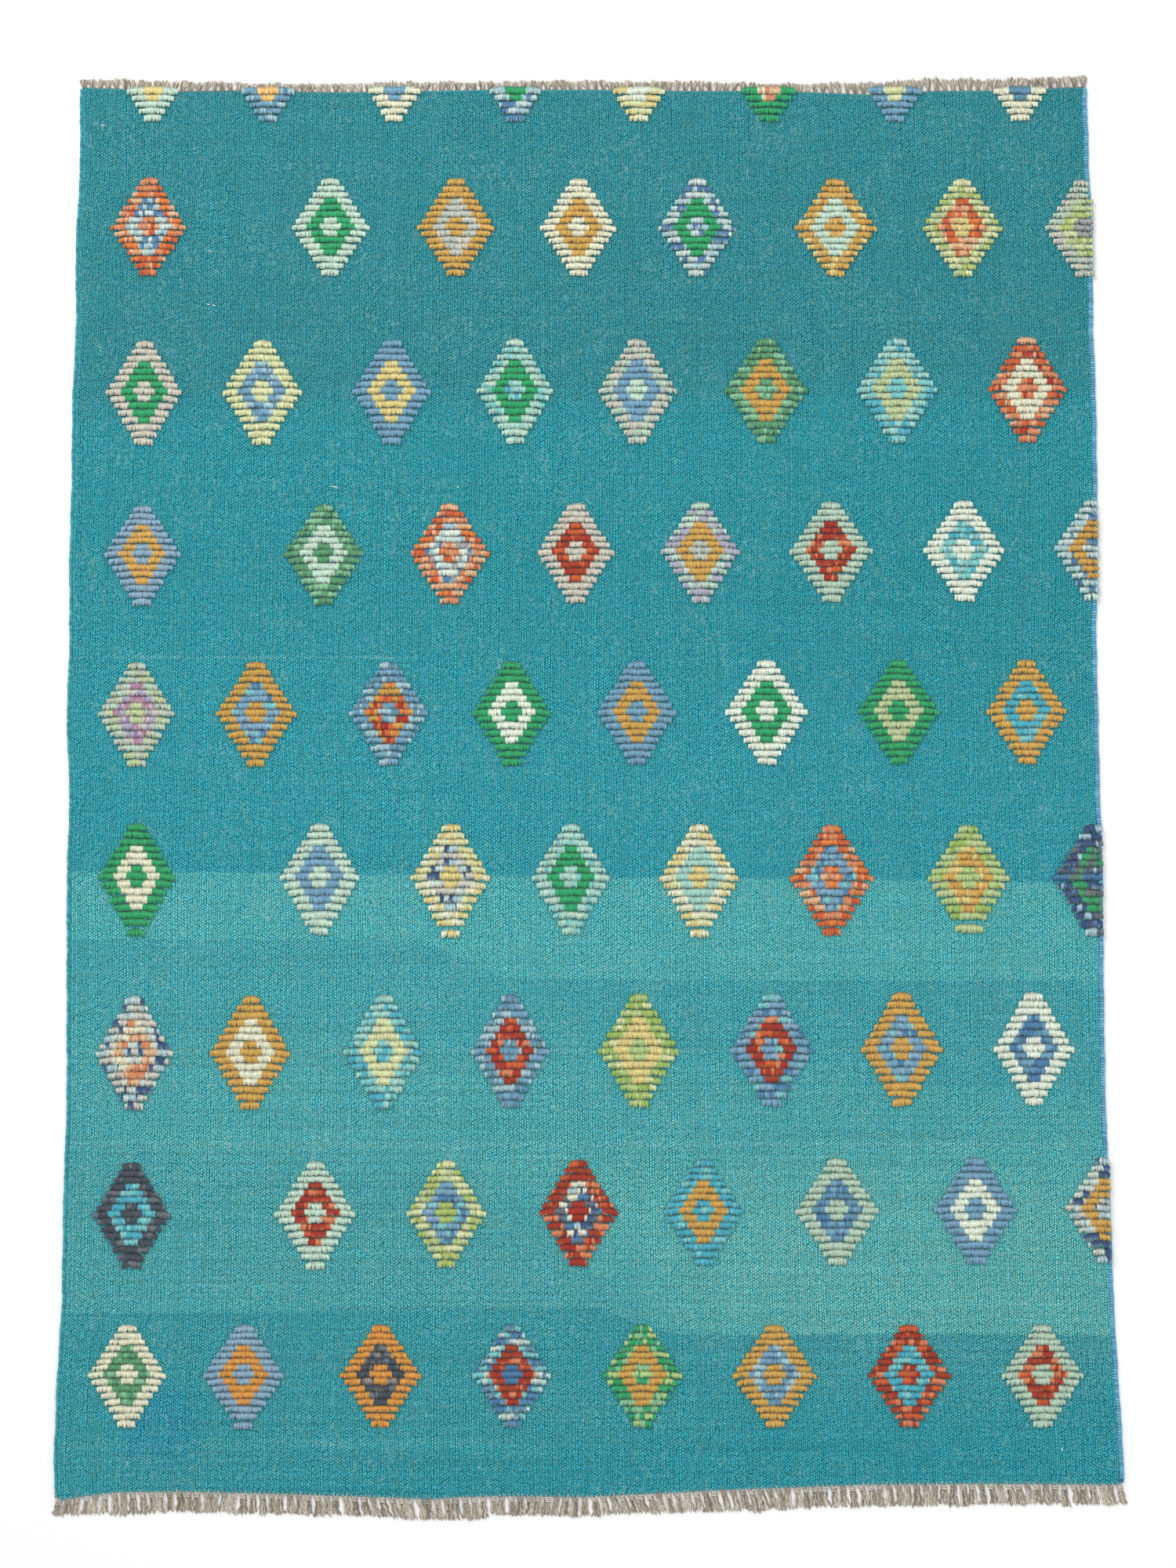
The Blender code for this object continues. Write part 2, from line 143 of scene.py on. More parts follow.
CHART = (  # a row of diamonds each, a diamond's yarns from its rim inwards
    "mint yellow|SKY honey|cream denim|BLUE green|SUN white|green BLUSH|denim butter|cream azure",
    "RUST BLUE|mint green|ochre STONE|cream ochre|FROST green|AMBER mint|CITRON RUST straw"
    "|MIST CITRON gray",
    "ecru green|butter SKY|denim straw|BROOK green AQUA|MIST denim mint|LEAF tan|AQUA pistachio aqua"
    "|FLAME cream",
    "sky apricot|LEAF mint leaf|RUST ICE RUST|ecru BRICK|LILAC ochre silver|sage EMBER|white AQUA"
    "|FROST tan",
    "HAY VIOLET pistachio|tan TIDE|SKY FIRE|green white|denim tan|white green|green pistachio"
    "|ochre LAGOON",
    "green cream|mint denim|SUN NIGHT straw|BROOK green|SUN foam straw|RUST TIDE|LIME AMBER lime|INK PINE",
    "NIGHT BLUSH|ochre cream|AQUA butter|SKY EMBER|MEADOW straw lime|TIDE EMBER|ochre TIDE|white AZURE",
    "COAL LAGOON|mint EMBER|CITRON TIDE chartreuse|EMBER MARL red|LAGOON tan|sage AZURE|denim white"
    "|NIGHT ochre",
    "cream LEAF|sky marigold|marigold SMOKE|SURF EMBER blue|JADE tan|ochre SKY|EMBER LAGOON|sage EMBER",
)
INNER_RING = 11  # knots across the inner ring at the diamond's middle row
CORE = 5  # and across its core

TEAL_YARN = ("40A6B1", "3498A4", "4DB2BA")
BLUE_YARN = ("62ABCB", "589FC4", "74BDDA", "6AB4CA")
FRINGE_YARN = ("CCC3B2", "B8AE9C", "DDD4C6", "8B8271", "A59A87")
WARP_YARN = ("C9B9AC", "B1A093", "DACCBF")


# ---- helpers ----

def looked_up(rows, by, name, value):
    """A column's value where another column has the given one, in proportion between rows."""
    return np.interp(value, [getattr(row, by) for row in rows], [getattr(row, name) for row in rows])


def left_edge(y):
    return looked_up(SIDE_EDGES, "y", "left_x", y)


def right_edge(y):
    return looked_up(SIDE_EDGES, "y", "right_x", y)


def weave_end(end_table, x):
    return looked_up(end_table, "x", "weave_y", x)


def linear(srgb_hex):
    """An sRGB colour such as "2BA05E" as linear numbers."""
    parts = [int(srgb_hex[i:i + 2], 16) / 255 for i in (0, 2, 4)]
    return np.array([c / 12.92 if c <= 0.04045 else ((c + 0.055) / 1.055) ** 2.4 for c in parts])


def dyed(yarn):
    """The linear colours that a yarn of the chart runs through."""
    return [linear(DYES[name]) for name in MIXES.get(yarn, yarn).split()]


def either_way(draw, most, size=None):
    return draw.uniform(-most, most, size)


def picked(hexes, count, draw, spread):
    """A colour for each of count strands, drawn from a short list and made a little lighter or darker."""
    choices = np.array([linear(one) for one in hexes])
    colours = choices[draw.integers(len(hexes), size=count)]
    return colours * draw.uniform(1 - spread, 1 + spread, (count, 1))


INSET = BINDING_WIDTH + GAP
FIELD_LOW_X = min(row.left_x for row in SIDE_EDGES[1:-1]) + INSET
FIELD_LOW_Y = weave_end(BOTTOM_END, SIDE_EDGES[0].left_x + INSET)
SHIFT = np.array(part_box("field")[0]) - np.array((FIELD_LOW_X, FIELD_LOW_Y, 0.0))

WAVE = "length_x length_y phase size"
SWELLS = table(WAVE, (  # the cloth's slight rise and fall as it lies
    (1.3, 0.9, 0.4, 0.0003), (-0.7, 1.6, 2.1, 0.00025), (0.45, -0.55, 4.0, 0.00015),
))
PICK_WAVES = table(WAVE, (  # how far the rows of weft wander, in picks
    (0.62, 0.35, 0.0, 0.9), (-0.23, 0.41, 1.3, 0.6), (0.105, 0.17, 2.6, 0.35), (0.052, -0.11, 5.0, 0.22),
))


def waves(rows, x, y):
    return sum(w.size * np.sin(2 * np.pi * (x / w.length_x + y / w.length_y) + w.phase) for w in rows)


def swell(x, y):
    """How much higher than flat the cloth lies."""
    return waves(SWELLS, x, y) + sum(w.size for w in SWELLS)


# ---- meshes ----

UP = np.array((0.0, 0.0, 1.0))
scene = bpy.context.scene


def added(name, data):
    """A new object in the scene."""
    thing = bpy.data.objects.new(name, data)
    scene.collection.objects.link(thing)
    return thing


def set_inputs(node, values):
    for socket, value in values.items():
        node.inputs[socket].default_value = value


def at(x, y, z):
    """Points from their three coordinates, each a number or an array."""
    return np.stack(np.broadcast_arrays(x, y, z), axis=-1)


def unit(vectors):
    return vectors / np.linalg.norm(vectors, axis=-1, keepdims=True)


def sweep(paths, half_widths, half_heights, sides, across=None, turn=0.0):
    """Closed tubes along many paths at once, as points and faces.

    paths is strands x rings x 3. The half sizes and the section's turn, in radians, are numbers or
    arrays of strands x rings. across is the direction of the width, level and square to the path if None.
    """
    strands, rings, _ = paths.shape
    along = unit(np.gradient(paths, axis=1))
    side = np.cross(along, UP) if across is None else np.broadcast_to(across, along.shape)
    side = unit(side - along * np.sum(side * along, axis=-1, keepdims=True))
    rise = np.cross(side, along)
    full = np.ones((strands, rings))
    angles = (full * turn)[..., None] + 2 * np.pi * (np.arange(sides) + 0.5) / sides
    wide = (full * half_widths)[..., None] * np.cos(angles)
    high = (full * half_heights)[..., None] * np.sin(angles)
    points = paths[:, :, None] + side[:, :, None] * wide[..., None] + rise[:, :, None] * high[..., None]
    index = np.arange(strands * rings * sides).reshape(strands, rings, sides)
    after = np.roll(index, -1, axis=2)
    quads = np.stack((index[:, :-1], index[:, 1:], after[:, 1:], after[:, :-1]), axis=-1).reshape(-1, 4)
    return points.reshape(-1, 3), [quads, index[:, 0], index[:, -1, ::-1]]


def tubes(paths, half_widths, half_heights, sides, colours, shades=1.0, across=None):
    """Swept tubes and their colours: one colour for each strand, times a shade for each of its rings."""
    points, faces = sweep(paths, half_widths, half_heights, sides, across)
    shades = np.broadcast_to(shades, paths.shape[:2])
    return points, faces, np.repeat((colours[:, None] * shades[..., None]).reshape(-1, 3), sides, axis=0)


def piece(name, points, faces, material, replaces=(), colours=None, weave=None):
    """One object of the rug, riding on its only body. faces is a list of arrays of equal-sided faces."""
    mesh = bpy.data.meshes.new(name)
    placed = points + SHIFT
    corners = np.concatenate([block.ravel() for block in faces])
    sizes = np.concatenate([np.full(len(block), block.shape[1]) for block in faces])
    mesh.vertices.add(len(placed))
    mesh.vertices.foreach_set("co", placed.ravel())
    mesh.loops.add(len(corners))
    mesh.loops.foreach_set("vertex_index", corners)
    mesh.polygons.add(len(sizes))
    mesh.polygons.foreach_set("loop_start", np.cumsum(sizes) - sizes)
    mesh.polygons.foreach_set("use_smooth", np.ones(len(sizes), dtype=bool))
    if colours is not None:
        shades = mesh.attributes.new("yarn", "FLOAT_COLOR", "POINT")
        shades.data.foreach_set("color", np.column_stack((colours, np.ones(len(colours)))).ravel())
    if weave is not None:
        mesh.attributes.new("weave", "FLOAT_VECTOR", "POINT").data.foreach_set("vector", weave.ravel())
    mesh.update(calc_edges=True)
    mesh.validate()
    mesh.materials.append(material)
    thing = added(name, mesh)
    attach(thing, "root")
    if replaces:
        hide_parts(*replaces)
    return thing


def yarn_piece(name, parts, material, replaces=()):
    """One object made of several parts, each with points, faces and colours."""
    points, faces, colours = zip(*parts)
    starts = np.cumsum([0, *map(len, points)])
    faces = [block + start for blocks, start in zip(faces, starts) for block in blocks]
    return piece(name, np.concatenate(points), faces, material, replaces, np.concatenate(colours))


# ---- materials ----

class Graph:
    """Short calls for building one material's nodes."""

    def __init__(self, name, roughness, sheen, specular):
        self.material = bpy.data.materials.new(name)
        self.material.use_nodes = True
        self.tree = self.material.node_tree
        self.shader = self.tree.nodes["Principled BSDF"]
        set_inputs(self.shader, {"Roughness": roughness, "Sheen Weight": sheen, "Sheen Roughness": 0.6,
                                 "Specular IOR Level": specular})

    def node(self, kind, *values, sockets=None, **settings):
        """The outputs of a new node, with its first inputs, or those in sockets, set or linked to values."""
        node = self.tree.nodes.new("ShaderNode" + kind)
        for setting, value in settings.items():
            setattr(node, setting, value)
        for socket, value in zip(sockets or range(len(values)), values):
            if isinstance(value, bpy.types.NodeSocket):
                self.tree.links.new(value, node.inputs[socket])
            else:
                node.inputs[socket].default_value = value
        return node.outputs

    def math(self, operation, *values):
        return self.node("Math", *values, operation=operation)[0]

    plus = partialmethod(math, "ADD")
    minus = partialmethod(math, "SUBTRACT")
    times = partialmethod(math, "MULTIPLY")

    def vector(self, operation, first, second):
        outputs = self.node("VectorMath", first, second, operation=operation)
        return outputs["Value" if operation == "DOT_PRODUCT" else "Vector"]

    def combined(self, x, y, z):
        return self.node("CombineXYZ", x, y, z)[0]

    def ramp(self, value, low, high, out_low=0.0, out_high=1.0):
        """A smooth step from out_low to out_high as value goes from low to high."""
        return self.node("MapRange", value, low, high, out_low, out_high,
                         interpolation_type="SMOOTHSTEP")[0]

    def mix(self, share, first, second):
        return self.node("Mix", share, first, second, sockets=(0, 6, 7), data_type="RGBA")[2]

    def scaled(self, colour, factor):
        return self.vector("MULTIPLY", colour, self.combined(factor, factor, factor))

    def noise(self, place, scale, detail=2.0):
        return self.node("TexNoise", place, scale, detail, sockets=("Vector", "Scale", "Detail"))[0]

    def split(self, vector):
        return self.node("SeparateXYZ", vector)

    def chances(self, place):
        """Three numbers from 0 to 1 that stay the same wherever place is the same."""
        return self.split(self.node("TexWhiteNoise", place, noise_dimensions="3D")["Color"])

    def place(self):
        return self.node("TexCoord")["Object"]

    def attribute(self, name):
        return self.node("Attribute", attribute_name=name)

    def finish(self, colour, height, relief):
        """Gives the shader its colour and a bump of that relief, in metres, for a height of 1."""
        bump = self.node("Bump", height, relief, sockets=("Height", "Distance"))["Normal"]
        self.tree.links.new(colour, self.shader.inputs["Base Color"])
        self.tree.links.new(bump, self.shader.inputs["Normal"])
        return self.material


MOST_NOISE = (0.25, 0.75)  # between which nearly all of a noise lies
MID_NOISE = (0.3, 0.7)


def yarn_material(name, fibre_scale, relief, contrast):
    """Spun wool in the colours that the piece carries, with fine fibres that catch the light unevenly."""
    graph = Graph(name, roughness=0.9, sheen=0.12, specular=0.15)
    place = graph.place()
    fibres = graph.noise(graph.vector("MULTIPLY", place, fibre_scale), 1.0, detail=3.0)
    shade = graph.ramp(fibres, *MOST_NOISE, 1 - contrast, 1 + contrast)
    colour = graph.scaled(graph.attribute("yarn")["Color"], shade)
    return graph.finish(colour, fibres, relief)


TWIST_WANDER = 9.0  # radians
TWIST_FIBRES = (0.88, 1.12)
TWIST_RELIEF = 0.0003


def twisted_material(name, turn_along, turn_across, contrast):
    """Plied yarn, its turns seen as slanting hatches that run mostly across the Y direction."""
    graph = Graph(name, roughness=0.9, sheen=0.1, specular=0.15)
    place = graph.place()
    wander = graph.noise(place, 160.0)
    turns = graph.vector("DOT_PRODUCT", place, (2 * math.pi / turn_across, 2 * math.pi / turn_along, 0.0))
    ply = graph.math("SINE", graph.plus(turns, graph.times(wander, TWIST_WANDER)))
    fibres = graph.noise(place, 900.0)
    # Painted light and shade: lighter on the crests of the turns, darker in the grooves between them,
    # following the bump.
    shade = graph.times(graph.ramp(ply, -1.0, 1.0, 1 - contrast, 1 + contrast),
                        graph.ramp(fibres, *MOST_NOISE, *TWIST_FIBRES))
    colour = graph.scaled(graph.attribute("yarn")["Color"], shade)
    return graph.finish(colour, graph.plus(ply, fibres), TWIST_RELIEF)


def below(left_y, right_y):
    """A lot's edge right across the rug, with the lot on the side of the knotted fringe."""
    return (0.75, right_y), (-0.75, left_y)


def above(left_y, right_y):
    return (-0.75, left_y), (0.75, right_y)


# Lots of teal yarn, later ones over earlier. A lot fills the area to the left of each of its edges, which run
# from point to point in the rug's frame, and softness is the width over which it fades in.
FIRST_LOT = "368B93"
LOTS = table("colour strength softness edges", (
    ("32949E", 1.0, 0.09, [below(0.545, 0.59)]),
    ("379BA6", 1.0, 0.3, [below(0.22, 0.1)]),
    ("52AEB0", 1.0, 0.004, [below(-0.127, -0.144)]),
    ("46A2A9", 1.0, 0.004, [below(-0.281, -0.286)]),
    ("49A5AB", 1.0, 0.004, [below(-0.226, -0.226), ((-0.125, -0.278), (-0.247, -0.226))]),
    ("50A9AC", 1.0, 0.04, [below(-0.345, -0.455)]),
    ("5FB0AE", 0.9, 0.12, [((0.75, -0.56), (-0.2, -0.56)), ((-0.14, -0.5), (0.18, -0.79))]),
    ("4EA5A9", 1.0, 0.005, [below(-0.529, -0.529), ((0.118, -0.79), (-0.201, -0.529))]),
    ("449CA3", 1.0, 0.004, [below(-0.793, -0.793)]),
    ("3E9BA3", 1.0, 0.005, [below(-0.762, -0.752), ((0.118, -0.79), (-0.004, -0.75))]),
    ("3095A1", 0.8, 0.12, [((0.75, -0.86), (-0.3, -0.98))]),
    ("6FB4B4", 0.4, 0.003, [below(0.187, 0.187), above(0.183, 0.184), ((-0.25, -1.0), (-0.25, 1.0))]),
    ("6FB4B4", 0.35, 0.003, [below(-0.385, -0.384), above(-0.389, -0.388)]),
    ("6FB4B4", 0.35, 0.006, [below(-0.518, -0.518), above(-0.526, -0.526)]),
    ("62AEAC", 0.2, 0.006, [((0.75, -0.931), (-0.25, -0.941)), ((-0.25, -0.95), (0.75, -0.94)),
                            ((-0.15, -1.0), (-0.15, 1.0))]),
    ("2C8FA8", 0.55, 0.05, [((-0.66, -0.975), (-0.56, -0.975)), ((-0.56, -0.975), (-0.56, -0.865)),
                            ((-0.56, -0.865), (-0.66, -0.865)), ((-0.66, -0.865), (-0.66, -0.975))]),
))

WARPS = 466
PICK_PITCH = 0.004
# Shares of the dye lot's own colour: painted shade between the beads, their bodies, and a painted highlight
# on their tops.
GAP_PAINTED_SHADE = (0.02, 0.31, 0.35)
BODY_TINT = (0.74, 0.88, 0.89)
TOP_PAINTED_HIGHLIGHT = (2.7, 1.62, 1.57)
GAP_TO_BODY = (-0.75, 0.45)  # heights on a bead, where one tint turns into the next
BODY_TO_TOP = (0.55, 0.97)
BARE_WARP = "A5B8B0"
LOT_WANDER = 0.0015  # how far a lot's edge strays

# The beads of yarn, in ribs across and in picks along.
RIB_DRIFT = 0.2
PICK_DRIFT = 0.16
MIDDLES_ACROSS = (0.38, 0.62)
MIDDLES_ALONG = (0.36, 0.64)
LEANS_ALONG = (-0.4, 0.15)  # for each rib across
FALL_ACROSS = 4.6  # how fast a bead falls off around its middle
FALL_ALONG = 3.9

# How much lighter and darker the weft is, from place to place.
WEFT_SHADES = (0.975, 1.03)
WARP_SHADES = (0.95, 1.05)
BEAD_SHADES = (0.96, 1.06)
SPECK_SHADES = (0.62, 1.42)
BAND_SIZE = (1.4, 190.0, 1.0)  # bands of wefts that are lighter and darker together
BAND_SWING = (0.085, 0.045)  # near the knotted fringe, and over the rest of the rug
BAND_SWING_Y = (-0.5, -0.15)
HEATHER_RED = (0.78, 1.22)  # where the wool has more red, it has less blue
HEATHER_BLUE = (1.07, 0.93)
WORN = (0.3, 0.8)  # how much of the bare warp shows, in the least and the most worn places
FIBRE_SHARE = 0.25  # of a bead's height
WEAVE_RELIEF = 0.0007


def dye_lots(graph, place):
    """The weft's own colour at each place of the cloth."""
    tone = (*linear(FIRST_LOT), 1.0)
    wander = graph.ramp(graph.noise(place, 14.0), *MID_NOISE, -LOT_WANDER, LOT_WANDER)
    for lot in LOTS:
        share = lot.strength
        for (x1, y1), (x2, y2) in lot.edges:
            length = math.hypot(x2 - x1, y2 - y1)
            inwards = ((y1 - y2) / length, (x2 - x1) / length, 0.0)
            depth = graph.plus(graph.vector("DOT_PRODUCT", place, inwards), wander)
            limit = inwards[0] * x1 + inwards[1] * y1
            shown = graph.ramp(depth, limit - lot.softness / 2, limit + lot.softness / 2)
            share = graph.times(share, shown)
        tone = graph.mix(share, tone, (*linear(lot.colour), 1.0))
    return tone


def weft_tone(graph, place, u, v, line, luck):
    """The weft's colour before the beads shade it: its dye lot, lighter and darker by weft, warp and bead."""
    plus, times, ramp = graph.plus, graph.times, graph.ramp
    weft = graph.combined(times(u, 0.02), line, 3.0)
    weft_shade = ramp(graph.noise(weft, 1.7, detail=1.0), *MOST_NOISE, *WEFT_SHADES)
    bands = graph.noise(graph.vector("MULTIPLY", place, BAND_SIZE), 1.0)
    swing = ramp(graph.split(place)[1], *BAND_SWING_Y, *BAND_SWING)
    weft_shade = plus(weft_shade, times(ramp(bands, *MID_NOISE, -1.0, 1.0), swing))
    warp = graph.noise(graph.combined(u, times(v, 0.012), 5.0), 0.9)
    shade = times(weft_shade, ramp(warp, *MOST_NOISE, *WARP_SHADES))
    shade = times(shade, ramp(luck, 0.0, 1.0, *BEAD_SHADES))
    specks = ramp(graph.noise(place, 1300.0), *MID_NOISE, *SPECK_SHADES)
    tone = graph.scaled(dye_lots(graph, place), times(shade, specks))
    heather = graph.noise(place, 160.0, detail=3.0)
    return graph.vector("MULTIPLY", tone, graph.combined(ramp(heather, *MID_NOISE, *HEATHER_RED), 1.0,
                                                         ramp(heather, *MID_NOISE, *HEATHER_BLUE)))


def cloth_material():
    """Weft-faced weave: each warp is a rib of yarn beads, and neighbouring ribs are half a bead apart."""
    graph = Graph("teal_weave", roughness=0.95, sheen=0.0, specular=0.08)
    plus, minus, times, ramp = graph.plus, graph.minus, graph.times, graph.ramp
    place = graph.vector("SUBTRACT", graph.place(), tuple(SHIFT))
    u, v, _ = graph.split(graph.attribute("weave")["Vector"])
    drift = graph.noise(graph.combined(u, times(v, 0.03), 2.0), 0.4, detail=1.0)
    u = plus(u, ramp(drift, 0.2, 0.8, -RIB_DRIFT, RIB_DRIFT))
    warp = graph.math("FLOOR", u)
    odd = graph.math("MODULO", warp, 2.0)
    drift = graph.noise(graph.combined(times(u, 0.6), v, 4.0), 0.6, detail=1.0)
    run = plus(plus(v, times(odd, 0.5)), ramp(drift, *MOST_NOISE, -PICK_DRIFT, PICK_DRIFT))
    pick = graph.math("FLOOR", run)
    luck, shift_across, shift_along = graph.chances(graph.combined(warp, pick, 0.5))

    across = minus(minus(u, warp), ramp(shift_across, 0, 1, *MIDDLES_ACROSS))
    along = minus(minus(run, pick), ramp(shift_along, 0, 1, *MIDDLES_ALONG))
    lean = ramp(graph.noise(place, 22.0, detail=1.0), *MID_NOISE, *LEANS_ALONG)
    along = plus(along, times(across, lean))
    fall = plus(times(times(across, across), FALL_ACROSS), times(times(along, along), FALL_ALONG))
    dome = minus(1.0, fall)

    line = graph.math("FLOOR", plus(times(run, 2.0), odd))
    tone = weft_tone(graph, place, u, v, line, luck)
    # Painted shade between the beads and a painted highlight on their tops, set by each bead's height.
    painted_gap_shade, on_body, painted_top_highlight = (graph.vector("MULTIPLY", tone, tint)
                               for tint in (GAP_PAINTED_SHADE, BODY_TINT, TOP_PAINTED_HIGHLIGHT))
    colour = graph.mix(ramp(dome, *GAP_TO_BODY), painted_gap_shade, on_body)
    colour = graph.mix(ramp(dome, *BODY_TO_TOP), colour, painted_top_highlight)

    streaks = graph.combined(plus(u, 0.5), times(v, 0.4), 8.0)
    bare_warps = ramp(graph.noise(streaks, 0.95), 0.43, 0.72)
    between = ramp(graph.math("ABSOLUTE", across), 0.26, 0.44)
    patches = graph.noise(graph.vector("MULTIPLY", place, (0.6, 1.0, 1.0)), 15.0)
    bare = times(times(bare_warps, between), ramp(luck, 0.2, 0.8))
    bare = times(bare, ramp(patches, 0.42, 0.62, *WORN))
    colour = graph.mix(bare, colour, (*linear(BARE_WARP), 1.0))

    fibres = graph.noise(place, 1400.0, detail=1.0)
    height = plus(graph.math("MAXIMUM", dome, 0.0), times(fibres, FIBRE_SHARE))
    return graph.finish(colour, height, WEAVE_RELIEF)


# ---- the cloth ----

RIB_SECTION = (0.0, 1.0, 1.0)  # its groove and its crest, one for each column of points a warp
RIB_DEPTH = 0.0003
TOP_CELLS_Y = 45
END_CELL = 0.0008  # share of the length, for the first and the last row of cells
UNDER_STEP_X = 15  # cells of the top to one of the plain underside
UNDER_STEP_Y = 3
UNDER_BINDING = 0.0012  # how far the cloth runs in under the wound edges
SPACING_SPREAD = 0.16  # of a warp's share of the width
FITTING_ROUNDS = 3  # of setting x from the sides and y from the ends, in turn


def build_cloth():
    """One closed sheet: ribs of yarn on top, one for each warp, and a flat underside on the floor."""
    cells_x = WARPS * len(RIB_SECTION)
    share_x = np.linspace(0.0, 1.0, cells_x + 1)[None, :]
    spaces = np.random.default_rng(SPACING_SEED).uniform(1 - SPACING_SPREAD, 1 + SPACING_SPREAD, WARPS)
    warp_places = np.concatenate(((0.0,), np.cumsum(spaces))) / spaces.sum()
    place_x = np.interp(share_x, np.linspace(0.0, 1.0, WARPS + 1), warp_places)
    between_ends = np.linspace(END_CELL, 1 - END_CELL, TOP_CELLS_Y - 1)
    share_y = np.concatenate(((0.0,), between_ends, (1.0,)))[:, None]
    y = SIDE_EDGES[0].y + share_y * (SIDE_EDGES[-1].y - SIDE_EDGES[0].y)
    for _ in range(FITTING_ROUNDS):
        low, high = left_edge(y) + INSET - UNDER_BINDING, right_edge(y) - INSET + UNDER_BINDING
        x = low + place_x * (high - low)
        y = weave_end(BOTTOM_END, x) + share_y * (weave_end(TOP_END, x) - weave_end(BOTTOM_END, x))
    crest = np.tile(RIB_SECTION, WARPS + 1)[:cells_x + 1][None, :]
    top = at(x, y, CLOTH_TOP - RIB_DEPTH * (1 - crest) + swell(x, y))
    weave = at(share_x * WARPS, y / PICK_PITCH + waves(PICK_WAVES, x, y), 0.0)

    under = top[::UNDER_STEP_Y, ::UNDER_STEP_X] * (1.0, 1.0, 0.0)
    top_index = np.arange(top[..., 0].size).reshape(x.shape)
    under_index = np.arange(under[..., 0].size).reshape(under.shape[:2]) + top_index.size

    def quads(index):
        return np.stack((index[:-1, :-1], index[:-1, 1:], index[1:, 1:], index[1:, :-1]), -1).reshape(-1, 4)

    def wall(rim, foot, step):
        """Faces from a run of the top's rim down to the coarser run under it."""
        runs = np.stack([rim[i * step:(i + 1) * step + 1] for i in range(len(foot) - 1)])
        return np.column_stack((foot[:-1], foot[1:], runs[:, ::-1]))

    faces = [
        quads(top_index), quads(under_index)[:, ::-1],
        wall(top_index[0], under_index[0], UNDER_STEP_X),
        wall(top_index[-1, ::-1], under_index[-1, ::-1], UNDER_STEP_X),
        wall(top_index[::-1, 0], under_index[::-1, 0], UNDER_STEP_Y),
        wall(top_index[:, -1], under_index[:, -1], UNDER_STEP_Y),
    ]
    points = np.concatenate((top.reshape(-1, 3), under.reshape(-1, 3)))
    woven = np.concatenate((weave.reshape(-1, 3), weave[::UNDER_STEP_Y, ::UNDER_STEP_X].reshape(-1, 3)))
    return piece("cloth", points, faces, cloth_material(), ("field",), weave=woven)


# ---- the pile ----

PILE_SIDES = 5
USUAL_PITCH = 0.0063
PILE_HALF_WIDTHS = (0.0027, 0.0033, 0.0019)  # at an end's foot, middle and tip, for the usual pitch
PILE_HALF_HEIGHTS = (0.0009, 0.0011, 0.0008)
# Painted shade: a yarn end is darker at its foot, under the row above, and a little darker at its tip.
FOOT_PAINTED_SHADE, TIP_PAINTED_SHADE = 0.6, 0.93
PILE_STAND = 0.0034  # height of a yarn end's middle line over the cloth
FOOT_LIFT = 0.0005  # and of its foot
TIP_SINK = 0.55  # of that stand, for its tip
MIDDLE_ROW = KNOT_ROWS // 2
OUTWARD_SPLAY = 0.0042  # at the tips of a row's outermost ends, and less and less further in
FOOT_SPLAY, MIDDLE_SPLAY = -0.15, 0.7  # shares of the tip's
END_DROOP = 0.002
EDGE_START_DROP = 0.2  # of a row pitch, for the start of a row's outermost ends
MIDDLE_DROP = 0.3  # of that, for their middles
KEPT_OVER_END = 0.006  # the last knots sit right on the end of the weave
KEPT_FROM_SIDE = 0.0015
REACH_UP, FIRST_REACH_UP = 0.41, 0.56  # how far the yarn ends run up and down, in row pitches
REACH_DOWN, LAST_REACH_DOWN = 0.55, 0.68

# By how much yarn ends and rows differ, in metres either way or as shares of the usual.
END_JITTER, START_JITTER, LEAN_JITTER, ROW_JITTER = 0.0005, 0.0006, 0.001, 0.0004
ROW_TILT = 0.012
ROW_WAVE = (0.0002, 0.0007)
ROW_WAVE_TURN = 150  # radians a metre
WIDTHS, LENGTHS, STANDS, REACHES = (0.86, 1.14), (0.84, 1.16), (0.94, 1.06), (0.93, 1.1)
STRAND_SHADES = (0.91, 1.11)
SWITCH_CHANCE = 0.45  # that the next end shows another colour of a yarn that changes
MOST_CHANGE = 0.9  # from one colour to the next within an end

ODD_ROWS = {  # by row of diamonds, column and row of knots: how many knots it has and how far it hangs
    (5, 0, 14): (3, 0.004), (5, 2, 14): (3, 0.004), (5, 4, 14): (3, 0.003), (8, 1, 14): (3, 0.003),
    (7, 1, 14): (3, 0.002), (5, 6, 13): (0, 0.0), (5, 6, 14): (5, -0.005),
}


def yarn_of(row, knot, knots, yarns):
    """Which of a diamond's three yarns a knot is tied with."""
    steps_off = abs(row - MIDDLE_ROW)
    off_axis = abs(knot - (knots - 1) / 2)
    if steps_off < CORE // 2 and off_axis < CORE / 2 - steps_off:
        return yarns[-1] if len(yarns) == 3 else yarns[0]
    if off_axis < INNER_RING / 2 - steps_off and knots >= INNER_RING - 2:
        return yarns[1]
    return yarns[0]


def knot_colours(row, knots, yarns, positions, draw):
    """The colours of both yarn ends of each knot of a row, at their bodies and at their tips.

    A yarn that changes colour along its length does so every few ends, and often within one.
    """
    colours = []
    for end in range(2 * knots):
        yarn = yarn_of(row, end // 2, knots, yarns)
        run = dyed(yarn)
        if draw.random() < SWITCH_CHANCE:
            positions[yarn] = positions.get(yarn, 0) + draw.integers(1, len(run) + 1)
        place = positions.get(yarn, 0)
        body, following = run[place % len(run)], run[(place + 1) % len(run)]
        colours.append((body, body + draw.uniform(0, MOST_CHANGE) * (following - body)))
    return np.array(colours)


